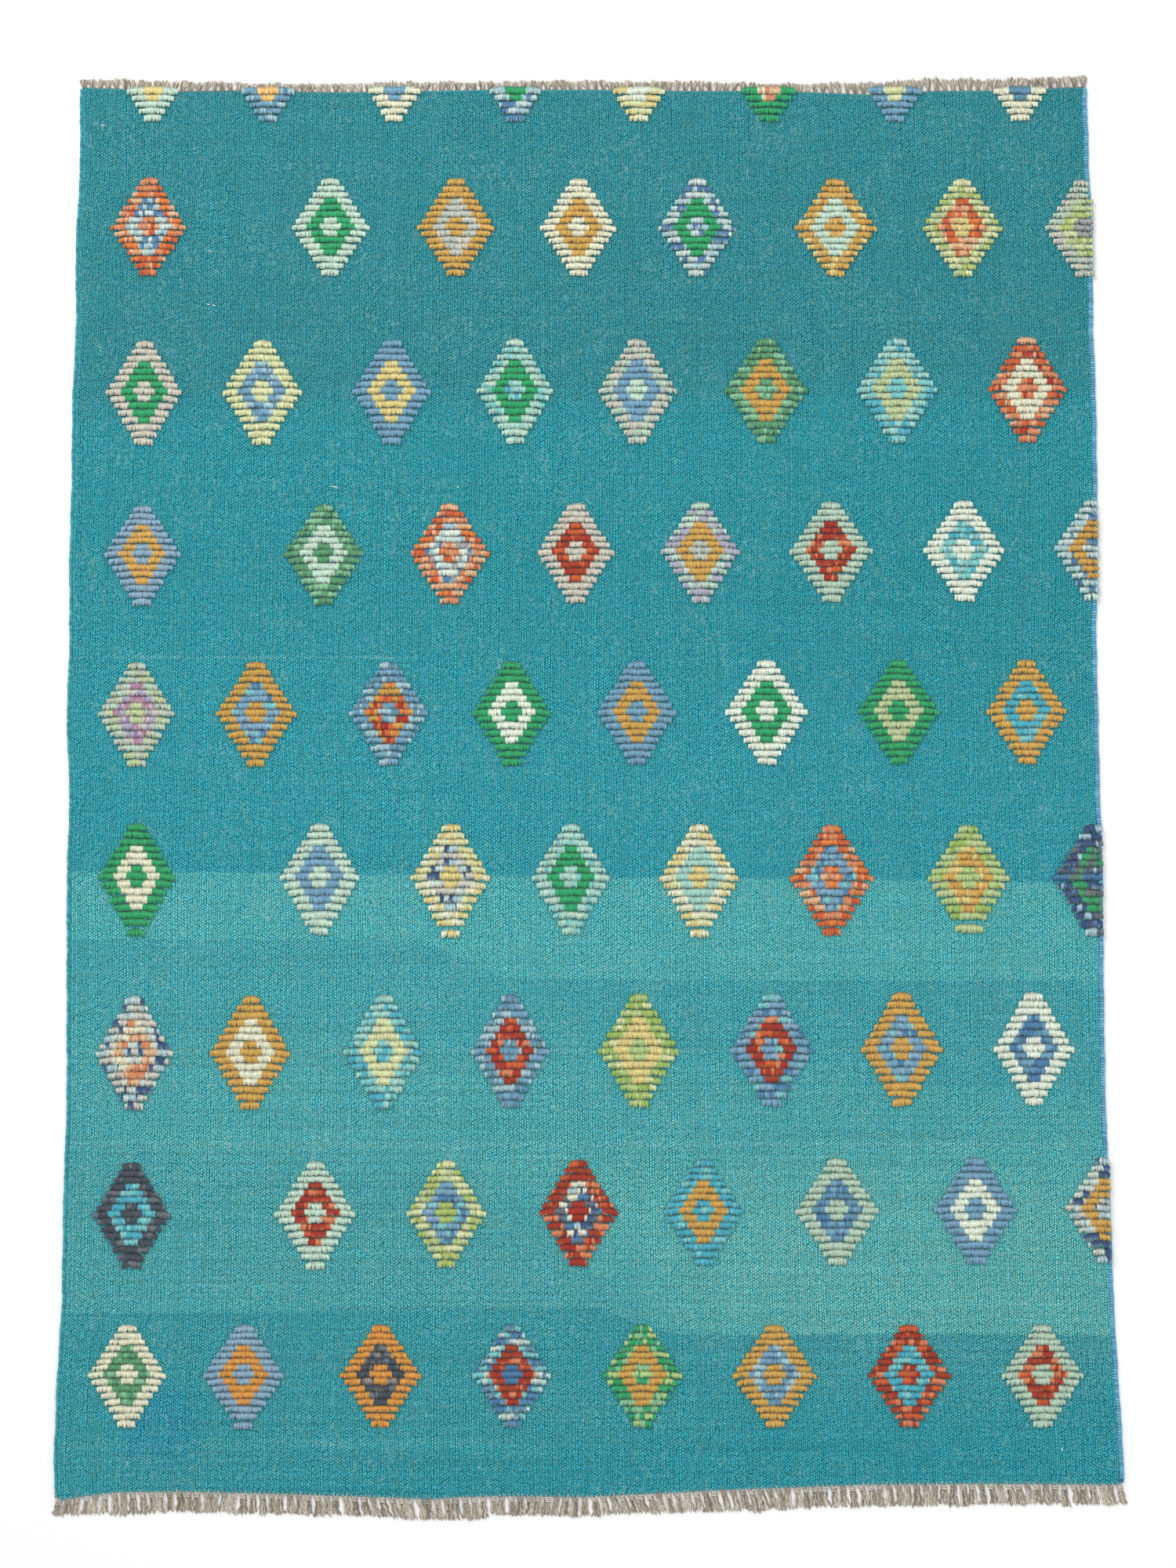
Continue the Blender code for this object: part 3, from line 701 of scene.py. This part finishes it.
def knot_row(x, y, pitch, row_pitch, colours, reach_up, reach_down, draw):
    """One row of knots, as two cut yarn ends a knot that rise from the cloth and lean towards -Y."""
    count = len(colours)
    places = (np.arange(count) - (count - 1) / 2) * pitch / 2
    from_middle = np.abs(places) / (KNOTS_AT_MIDDLE * pitch / 2)
    to_edge = np.abs(places) / np.abs(places[0])
    outwards = OUTWARD_SPLAY * np.sign(places) * to_edge ** (count / 6)
    xs = x + places + either_way(draw, END_JITTER, count)
    lean = outwards + either_way(draw, LEAN_JITTER, count)
    wave = draw.uniform(*ROW_WAVE) * np.sin(places * ROW_WAVE_TURN + draw.uniform(0, 2 * np.pi))
    tilt = either_way(draw, ROW_TILT) * places
    ys = y + wave + tilt - END_DROOP * from_middle ** 3 + either_way(draw, ROW_JITTER, count)
    length = draw.uniform(*LENGTHS, count)
    stand = PILE_STAND * draw.uniform(*STANDS, count)
    drop = EDGE_START_DROP * to_edge ** (count / 4)
    starts = ys + (reach_up - drop) * row_pitch + either_way(draw, START_JITTER, count)
    base = np.where(xs > right_edge(ys) - INSET, BINDING_HEIGHT, CLOTH_TOP) + swell(xs, ys)
    paths = np.stack((
        at(xs + outwards * FOOT_SPLAY, starts, base + FOOT_LIFT),
        at(xs + lean * MIDDLE_SPLAY, ys - drop * row_pitch * MIDDLE_DROP, base + stand),
        at(xs + lean, ys - reach_down * row_pitch * length, base + stand * TIP_SINK),
    ), axis=1)
    width = draw.uniform(*WIDTHS, (count, 1)) * PILE_HALF_WIDTHS * pitch / USUAL_PITCH
    points, faces = sweep(paths, width, PILE_HALF_HEIGHTS, PILE_SIDES, across=(1, 0, 0),
                          turn=math.pi / 2 / PILE_SIDES)
    strand = draw.uniform(*STRAND_SHADES, (count, 1))
    body, tip = colours[:, 0] * strand, colours[:, 1] * strand
    # An end's foot, middle and tip, with painted shade at the foot and the tip.
    rings = np.stack((body * FOOT_PAINTED_SHADE, body, tip * TIP_PAINTED_SHADE), axis=1)
    return points, faces, np.repeat(rings.reshape(-1, 3), PILE_SIDES, axis=0)


def build_diamond_row(number, material):
    """One row of diamonds across the rug, as one piece."""
    draw = np.random.default_rng(PILE_SEED + number)
    row, charted = DIAMOND_ROWS[number], CHART[number].split("|")
    parts = []
    for col, x in enumerate(row.places):
        middle = row.y_left + (row.y_right - row.y_left) * col / (len(row.places) - 1)
        yarns, positions = charted[col].split(), {}
        pitch, reach_up = KNOT_PITCH[col], FIRST_REACH_UP
        for k in range(KNOT_ROWS):
            row_pitch = row.pitch_above if k < MIDDLE_ROW else row.pitch_below
            y = middle + (MIDDLE_ROW - k) * row_pitch + either_way(draw, ROW_JITTER)
            knots = KNOTS_AT_MIDDLE - 2 * abs(k - MIDDLE_ROW)
            knots, lower = ODD_ROWS.get((number, col, k), (knots, 0.0))
            y -= lower
            colours = knot_colours(k, knots, yarns, positions, draw)
            room = right_edge(y) - KEPT_FROM_SIDE - (x - knots * pitch / 2)
            kept = min(knots, int(room / pitch))
            if kept < 1 or y > weave_end(TOP_END, x) + KEPT_OVER_END:
                continue
            reach_down = LAST_REACH_DOWN if k == KNOT_ROWS - 1 else REACH_DOWN * draw.uniform(*REACHES)
            first_x = x - (knots - kept) * pitch / 2
            colours = colours[:2 * kept]
            parts.append(knot_row(first_x, y, pitch, row_pitch, colours, reach_up, reach_down, draw))
            reach_up = REACH_UP
    return yarn_piece(f"pile_{number}", parts, material)


# ---- the wound side edges ----

WOUND_STEPS = 8  # points a turn
WOUND_SIDES = 5
YARN_FILL = 0.49  # half the yarn's width, as a share of the pitch
YARN_WIDTHS = (0.9, 1.1)
TURN_PAINTED_SHADE, PAINTED_SHADE_SWING = 0.93, 0.07  # painted shade: the turns are darker on their inner side, towards the cloth
SHORT_OF_END = 0.002
CORE_POINTS = 80
CORE_SIDES = 8
CORE_FILL = 1.05
WINDINGS = table("middle half_across half_up yarn_up pitch slant", (
    (0.0029, 0.0018, 0.0015, 0.0009, 0.0036, 0.0022),
    (0.0067, 0.0011, 0.0011, 0.0008, 0.0037, 0.0008),
    (0.004, 0.003, 0.0015, 0.0009, 0.0038, -0.0017),
))
LEFT_WINDINGS, RIGHT_WINDINGS = WINDINGS[:2], WINDINGS[2:]
EDGE_WAVES = table(WAVE, (
    (1.0, 0.085, 0.0, 0.0004), (1.0, 0.031, 1.0, 0.0003), (1.0, 0.0115, 2.0, 0.0003),
))


def rim_of(edge, y):
    return edge(y) + waves(EDGE_WAVES, 0.0, y)


def build_binding(name, edge, towards, windings, hexes, shaded_core_hex, material, seed):
    """A side edge of the rug: yarn wound round the outermost warps, with the warps as its core."""
    draw = np.random.default_rng(seed)
    parts = []
    for winding in windings:
        x_middle = edge(0.0) + towards * winding.middle
        y_top = weave_end(TOP_END, x_middle) - SHORT_OF_END
        y_bottom = weave_end(BOTTOM_END, x_middle) + SHORT_OF_END
        turns = int((y_top - y_bottom) / winding.pitch)
        angle = np.arange(turns * WOUND_STEPS + 1) * 2 * np.pi / WOUND_STEPS
        y = y_top - winding.pitch * angle / (2 * np.pi)
        rim = rim_of(edge, y)
        x = rim + towards * (winding.middle - winding.half_across * np.cos(angle))
        lift = swell(rim, y)
        z = winding.yarn_up + winding.half_up * (1 + np.sin(angle)) + lift * (1 + np.sin(angle)) / 2
        path = at(x, y + winding.slant * (np.cos(angle) - 1) / 2, z)[None]
        widths = np.repeat(draw.uniform(*YARN_WIDTHS, turns + 1), WOUND_STEPS)[:len(angle)]
        widths = winding.pitch * YARN_FILL * widths
        points, faces = sweep(path, widths[None], winding.yarn_up, WOUND_SIDES, across=(0, 1, 0))
        by_turn = np.repeat(picked(hexes, turns + 1, draw, 0.1), WOUND_STEPS, axis=0)[:len(angle)]
        # Painted shade on the inner side of each turn.
        inner = TURN_PAINTED_SHADE + PAINTED_SHADE_SWING * np.cos(angle)[:, None]
        parts.append((points, faces, np.repeat(by_turn * inner, WOUND_SIDES, axis=0)))

        y = np.linspace(y_top, y_bottom, CORE_POINTS)
        rim = rim_of(edge, y)
        z = winding.yarn_up + winding.half_up + swell(rim, y) / 2
        core = at(rim + towards * winding.middle, y, z)[None]
        # The core is a darker copy of the wound yarn's colour: painted shade where it shows between the
        # turns.
        parts.append(tubes(core, winding.half_across * CORE_FILL, winding.half_up * CORE_FILL, CORE_SIDES,
                           linear(shaded_core_hex)[None], across=(1, 0, 0)))
    return yarn_piece(f"wound_{name}", parts, material, (name,))


# ---- the ends ----

def locks_of(end_table, count, seed):
    """Each lock's place, length, sideways lean at the tip and extra half width, as in the solids."""
    draw = random.Random(seed)
    first, last = end_table[0].x, end_table[-1].x
    for i in range(count):
        x = first + (last - first) * (i + 0.5) / count
        sway = sum(math.sin(2 * math.pi * x / wave + seed) for wave in LOCK_SWAY_WAVES)
        lean = LOCK_SWAY * sway / len(LOCK_SWAY_WAVES) + draw.uniform(-LOCK_JITTER, LOCK_JITTER)
        reach = abs(looked_up(end_table, "x", "tip_y", x) - weave_end(end_table, x))
        length = reach + draw.uniform(-LOCK_LENGTH_SPREAD, LOCK_LENGTH_SPREAD)
        yield x, length, lean, draw.uniform(-LOCK_WIDTH_SPREAD, LOCK_WIDTH_SPREAD)


def end_line(end_table, count):
    """Points along one end of the cloth."""
    corner_y = end_table[0].weave_y
    x = np.linspace(left_edge(corner_y) + INSET, right_edge(corner_y) - INSET, count)
    return x, weave_end(end_table, x)


PICK_HEIGHT = 0.0022
PICK_SWING = 0.0009
PICK_HALF_WIDTH, PICK_HALF_HEIGHT = 0.0013, 0.0009
# The last picks are darker than their yarn, and darker still with painted shade where they pass under a warp.
UNDER_PAINTED_SHADE, OVER_SHADE = 0.46, 0.8
LAST_PICKS = ((0.0002, 1), (-0.0008, -1))  # how far out each lies, and whether it starts over or under


def build_last_picks(name, end_table, outwards, material):
    """The last two picks of weft at one end, which go over and under the warps in turn."""
    crossings = 2 * WARPS + 1
    x, y = end_line(end_table, crossings)
    over = np.cos(np.pi * np.arange(crossings) / 2)
    paths = np.stack([at(x, y + outwards * out, PICK_HEIGHT + sign * PICK_SWING * over + swell(x, y))
                      for out, sign in LAST_PICKS])
    colours = picked(TEAL_YARN, len(LAST_PICKS), np.random.default_rng(PICKS_SEED), 0.05)
    # Painted shade where a pick passes under a warp.
    shades = np.where(paths[..., 2] > PICK_HEIGHT, OVER_SHADE, UNDER_PAINTED_SHADE)
    parts = [tubes(paths, PICK_HALF_WIDTH, PICK_HALF_HEIGHT, 5, colours, shades)]
    return yarn_piece(name, parts, material)


BRUSH_STRANDS = 16
BRUSH_RINGS = np.array((0.0, 0.3, 0.65, 1.0))
BRUSH_HALF_WIDTHS = (0.0008, 0.0009, 0.0009, 0.0006)
BRUSH_HALF_HEIGHT = 0.0006
# Painted shade: the strands are darker towards their feet, where they crowd at the cloth's end, and a little
# lighter at their tips.
BRUSH_PAINTED_SHADES = (0.62, 0.8, 1.0, 1.08)
BRUSH_FOOT, BRUSH_FLARE = 0.0011, 0.0049  # half a brush's width at its foot, and what its tips add
BRUSH_TUCK = 0.0012  # how far its foot lies in over the cloth
BRUSH_JITTER = 0.2  # of a strand's place across the brush
BRUSH_REACHES = (0.84, 1.06)
BRUSH_RISES = (0.0012, 0.0034)
BRUSH_CURL, BRUSH_SWAY = 0.0009, 0.0012
EDGE_LINES = 2  # twined yarns that hold the last pick
EDGE_LINE_POINTS = 300
EDGE_LINE_HALF = 0.0005
EDGE_LINE_HEIGHT = 0.0034
EDGE_LINE_OUT = 0.001  # beyond the cloth's end
EDGE_LINE_TURN = 900  # radians a metre
EDGE_LINE_SHADE = 0.6


def build_brushes(material):
    """The top fringe: short cut warps that spread like little brushes, over the yarns along their feet."""
    draw = np.random.default_rng(BRUSH_SEED)
    rings = BRUSH_RINGS
    brushes = []
    for x, length, lean, extra in locks_of(TOP_END, SHORT_LOCKS, SHORT_LOCKS_SEED):
        spread = np.linspace(-1, 1, BRUSH_STRANDS) + either_way(draw, BRUSH_JITTER, BRUSH_STRANDS)
        reach = length * (0.97 - 0.1 * spread ** 2) * draw.uniform(*BRUSH_REACHES, BRUSH_STRANDS)
        width = BRUSH_FOOT + (BRUSH_FLARE + extra * draw.uniform(1, 4)) * rings ** 1.25
        curl = either_way(draw, BRUSH_CURL, (BRUSH_STRANDS, 1)) * np.sin(np.pi * rings * 1.6)
        rise = draw.uniform(*BRUSH_RISES, BRUSH_STRANDS)[:, None]
        xs = x + spread[:, None] * width + curl + (lean + either_way(draw, BRUSH_SWAY)) * rings ** 2
        ys = weave_end(TOP_END, x) - BRUSH_TUCK + reach[:, None] * rings
        zs = 0.0015 + (rise - BRUSH_HALF_HEIGHT) * np.sin(np.pi * (0.15 + 0.72 * rings))
        brushes.append(at(xs, ys, zs))
    brushes = np.concatenate(brushes)
    colours = picked(FRINGE_YARN, len(brushes), draw, 0.12)
    parts = [tubes(brushes, BRUSH_HALF_WIDTHS, BRUSH_HALF_HEIGHT, 4, colours, BRUSH_PAINTED_SHADES)]

    x, y = end_line(TOP_END, EDGE_LINE_POINTS)
    turn = x * EDGE_LINE_TURN
    lines = np.stack([at(x, y + EDGE_LINE_OUT + sign * 0.0004 * np.sin(turn),
                         EDGE_LINE_HEIGHT + sign * EDGE_LINE_HALF * np.cos(turn))
                      for sign in np.linspace(-1, 1, EDGE_LINES)])
    colours = picked(WARP_YARN[1:2], EDGE_LINES, draw, 0.05)
    parts.append(tubes(lines, EDGE_LINE_HALF, EDGE_LINE_HALF, 4, colours, EDGE_LINE_SHADE))
    return yarn_piece("brushes", parts, material, ("fringe_top",))


YARNS_A_LOCK = 7
YARN_RINGS = 9
YARN_HALF_WIDTHS = np.linspace(0.0012, 0.00095, YARN_RINGS)
YARN_HALF_HEIGHT = 0.0009
YARN_REACHES = (0.88, 1.06)
YARN_WIGGLES = (0.0004, 0.0014)
LOCK_FOOT, LOCK_FLARE = 0.0029, 0.003  # half a lock's width at its knot, and what its tips add
KNOT_RINGS = 21
KNOT_ANGLE = 5 * np.pi  # that the yarn turns through round the knot
KNOT_ACROSS, KNOT_UP = 0.0034, 0.0019
KNOT_ENDS = (0.003, -0.0034)
STEM_STARTS = (0.0012, 0.0042)  # how far in over the cloth the warps begin to show
HAIRS_A_LOCK = 10
HAIR_SPANS = (0.005, 0.009)
HAIR_LOWEST = 0.0003
HAIR_HALF_WIDTHS = (0.0003, 0.00022, 0.0001)
KNOT_SHARE = 0.17  # of a lock's length, from the cloth's end to the middle of its knot
WARP_SPACING = 0.008  # between the two warps that show above each lock
# Painted shade: the warps are darker where they come out from under the cloth's end, and a little darker at
# the knot.
STEM_PAINTED_SHADES = (0.55, 0.85, 1.0, 1.0, 0.95, 0.9)
LEANS = table("x aside", (  # how far aside the locks' tips lie, over what the solids have
    (-0.76, -0.0025), (-0.6, 0.0), (-0.4, 0.0015), (-0.27, 0.0045), (-0.17, 0.0025),
    (-0.03, 0.0), (0.03, 0.0045), (0.2, 0.0055), (0.4, 0.0035), (0.46, 0.0), (0.56, 0.001),
    (0.62, 0.005), (0.765, 0.006),
))


def build_knotted_fringe(material):
    """The bottom fringe: pairs of warps knotted into locks of twisted yarn, with frayed tips."""
    draw = np.random.default_rng(KNOTTED_SEED)
    rings = np.linspace(0.0, 1.0, YARN_RINGS)
    foot = np.linspace(0, 1, len(STEM_PAINTED_SHADES))
    each = (YARNS_A_LOCK, 1)
    yarns, knots, stems, hairs = [], [], [], []
    for x, length, lean, extra in locks_of(BOTTOM_END, KNOTTED_LOCKS, KNOTTED_LOCKS_SEED):
        aside = lean + looked_up(LEANS, "x", "aside", x) + either_way(draw, 0.001)
        end_y = weave_end(BOTTOM_END, x)
        knot_x, knot_y = x + aside * KNOT_SHARE, end_y - length * KNOT_SHARE
        spread = np.linspace(-1, 1, YARNS_A_LOCK)[:, None] + either_way(draw, 0.18, each)
        reach = length * (1 - KNOT_SHARE) * draw.uniform(*YARN_REACHES, each)
        wiggle = draw.uniform(*YARN_WIGGLES, each) * np.sin(draw.uniform(0, 2 * np.pi, each) + 12.0 * rings)
        fan = LOCK_FOOT + (LOCK_FLARE + extra * draw.uniform(0, 4)) * rings ** 1.2
        bend = either_way(draw, 0.0022) * np.sin(np.pi * rings)
        xs = knot_x + spread * fan + aside * rings + bend + wiggle * np.minimum(2.5 * rings, 1.0)
        zs = 0.0012 + (0.0021 + draw.uniform(0, 0.0009, each)) * (1 - rings) ** 1.3
        yarns.append(at(xs, knot_y + 0.001 - reach * rings, zs))

        turn = np.linspace(0, KNOT_ANGLE, KNOT_RINGS) + draw.uniform(0, 2)
        knots.append(at(knot_x - KNOT_ACROSS * np.cos(turn), knot_y + np.linspace(*KNOT_ENDS, KNOT_RINGS),
                        CLOTH_TOP + KNOT_UP * np.sin(turn)))

        for side in (-1, 1):
            off = side * WARP_SPACING / 2 + either_way(draw, 0.0006)
            above_end = draw.uniform(*STEM_STARTS)
            xs = x + off * (1 - 0.8 * foot ** 0.8)
            ys = end_y + above_end - (above_end + length * KNOT_SHARE) * foot
            zs = CLOTH_TOP + 0.0009 * np.sin(np.pi * foot * 0.9) - 0.0008 * (1 - foot) ** 4
            stems.append(at(xs, ys, zs + swell(xs, ys)))

        where = draw.integers(YARNS_A_LOCK, size=HAIRS_A_LOCK)
        start = yarns[-1][where, -3]
        heading = at(either_way(draw, 0.5, HAIRS_A_LOCK), -1.0, draw.uniform(-0.12, 0.1, HAIRS_A_LOCK))
        span = draw.uniform(*HAIR_SPANS, (HAIRS_A_LOCK, 1, 1)) * np.linspace(0, 1, 3)[None, :, None]
        hairs.append(start[:, None] + heading[:, None] * span)
        np.maximum(hairs[-1][..., 2], HAIR_LOWEST, out=hairs[-1][..., 2])

    yarns, hairs = np.concatenate(yarns), np.concatenate(hairs)
    # Painted shade: the yarns are darker at the knot, where they crowd together, and a little lighter to
    # their tips.
    shades = np.interp(rings, (0.0, 0.25, 1.0), (0.4, 0.9, 1.08))
    parts = [
        tubes(yarns, YARN_HALF_WIDTHS, YARN_HALF_HEIGHT, 5, picked(FRINGE_YARN, len(yarns), draw, 0.1),
              shades),
        tubes(np.array(knots), 0.0013, 0.0011, 4, picked(FRINGE_YARN[:3], len(knots), draw, 0.08),
              across=(0, 1, 0)),
        tubes(np.array(stems), 0.0006, 0.0005, 5, picked(WARP_YARN, len(stems), draw, 0.12), STEM_PAINTED_SHADES),
        tubes(hairs, HAIR_HALF_WIDTHS, HAIR_HALF_WIDTHS, 3, picked(FRINGE_YARN, len(hairs), draw, 0.12)),
    ]
    return yarn_piece("knotted_fringe", parts, material, ("fringe_bottom",))


# ---- small things on the cloth ----

# Bits of undyed wool spun into the weft, and two loose ends of weft. Headings are in degrees.
SLUBS = table("x y length heading colour", defaults=("DCDAD0",), rows=(
    (-0.716, 0.976, 0.008, 10), (-0.581, 0.941, 0.003, 60), (-0.556, 0.787, 0.006, -5),
    (-0.558, 0.7075, 0.005, -8, "E4E0D6"), (-0.55, 0.706, 0.005, -12, "E4E0D6"),
    (-0.371, 0.436, 0.013, -12), (-0.19, 0.436, 0.004, 30), (-0.142, 0.741, 0.003, 0),
    (-0.387, -0.512, 0.004, 20), (-0.516, -0.53, 0.003, 80), (-0.155, -0.981, 0.004, 0),
    (-0.606, -0.852, 0.003, 30), (0.397, -0.772, 0.004, 50), (0.678, -0.955, 0.005, 85),
    (-0.391, -0.744, 0.003, 0), (-0.745, 1.03, 0.01, 100, "2F929C"), (-0.234, -1.03, 0.01, 95, "3A9AA3"),
))
SLUB_HALF_WIDTHS = (0.0004, 0.0009, 0.0008, 0.0003)
SLUB_HALF_HEIGHTS = (0.0003, 0.0006, 0.0006, 0.0003)


def build_slubs(material):
    paths = []
    for slub in SLUBS:
        run = np.linspace(-0.5, 0.5, len(SLUB_HALF_WIDTHS)) * slub.length
        heading = math.radians(slub.heading)
        xs, ys = slub.x + run * math.cos(heading), slub.y + run * math.sin(heading)
        paths.append(at(xs, ys, CLOTH_TOP + 0.0002 + swell(xs, ys)))
    colours = np.array([linear(slub.colour) for slub in SLUBS])
    parts = [tubes(np.array(paths), SLUB_HALF_WIDTHS, SLUB_HALF_HEIGHTS, 6, colours)]
    return yarn_piece("slubs", parts, material)


# ---- the rug ----

pile_yarn = yarn_material("pile_yarn", (950.0, 330.0, 600.0), 0.0009, 0.3)
bound_yarn = yarn_material("bound_yarn", (260.0, 900.0, 500.0), 0.0004, 0.14)
warp_yarn = twisted_material("warp_yarn", 0.0032, 0.0036, 0.38)

cloth = build_cloth()
pile = [build_diamond_row(number, pile_yarn) for number in range(len(DIAMOND_ROWS))]
# The second colours are the cores': darker copies of the wound yarns, as painted shade between the turns.
bindings = [
    build_binding("selvage_left", left_edge, 1, LEFT_WINDINGS, TEAL_YARN, "27757F", bound_yarn,
                  LEFT_SEED),
    build_binding("selvage_right", right_edge, -1, RIGHT_WINDINGS, BLUE_YARN, "3B7396", bound_yarn,
                  RIGHT_SEED),
]
picks = [
    build_last_picks("last_picks_top", TOP_END, 1, bound_yarn),
    build_last_picks("last_picks_bottom", BOTTOM_END, -1, bound_yarn),
]
fringes = [build_brushes(warp_yarn), build_knotted_fringe(warp_yarn)]
slubs = build_slubs(pile_yarn)

# ---- the floor, the light and the camera ----

WHITE = (1.0, 1.0, 1.0, 1.0)
FLOOR_COLOUR = (0.93, 0.93, 0.93, 1.0)
FLOOR_HALF, FLOOR_LEVEL = 6.0, -0.0002
CAMERA_DISTANCE = 5.2
CAMERA_TIP = math.radians(5)  # from straight down
CAMERA_LENS, SENSOR_HEIGHT = 82.116, 36.0  # millimetres
WORLD_STRENGTH = 0.66


def build_floor():
    mesh = bpy.data.meshes.new("floor")
    signs = ((-1, -1), (1, -1), (1, 1), (-1, 1))
    mesh.from_pydata([(x * FLOOR_HALF, y * FLOOR_HALF, FLOOR_LEVEL) for x, y in signs], [], [(0, 1, 2, 3)])
    material = bpy.data.materials.new("pale_floor")
    material.use_nodes = True
    set_inputs(material.node_tree.nodes["Principled BSDF"], {"Base Color": FLOOR_COLOUR, "Roughness": 0.9})
    mesh.materials.append(material)
    added("floor", mesh)


def build_light(name, place, size, power):
    """A soft square area light, turned to the frame's origin."""
    data = bpy.data.lights.new(name, "AREA")
    data.size = size
    data.energy = power
    light = added(name, data)
    light.location = place
    x, y, z = place
    light.rotation_euler = (math.atan2(math.hypot(x, y), z), 0.0, math.atan2(x, -y))


def build_camera():
    """Seen nearly from straight above, as in the photograph."""
    data = bpy.data.cameras.new("camera")
    data.sensor_fit = "VERTICAL"
    data.sensor_height = SENSOR_HEIGHT
    data.lens = CAMERA_LENS
    camera = added("camera", data)
    camera.location = (SHIFT[0], SHIFT[1] - CAMERA_DISTANCE * math.sin(CAMERA_TIP),
                       CAMERA_DISTANCE * math.cos(CAMERA_TIP))
    camera.rotation_euler = (CAMERA_TIP, 0.0, 0.0)
    scene.camera = camera


build_floor()
build_light("key", (-1.6, 3.0, 3.6), size=2.6, power=130.0)
build_light("fill", (1.8, -2.2, 4.2), size=3.5, power=52.0)
build_camera()
scene.world = bpy.data.worlds.new("studio")
scene.world.use_nodes = True
set_inputs(scene.world.node_tree.nodes["Background"], {"Color": WHITE, "Strength": WORLD_STRENGTH})
scene.view_settings.view_transform = "Standard"
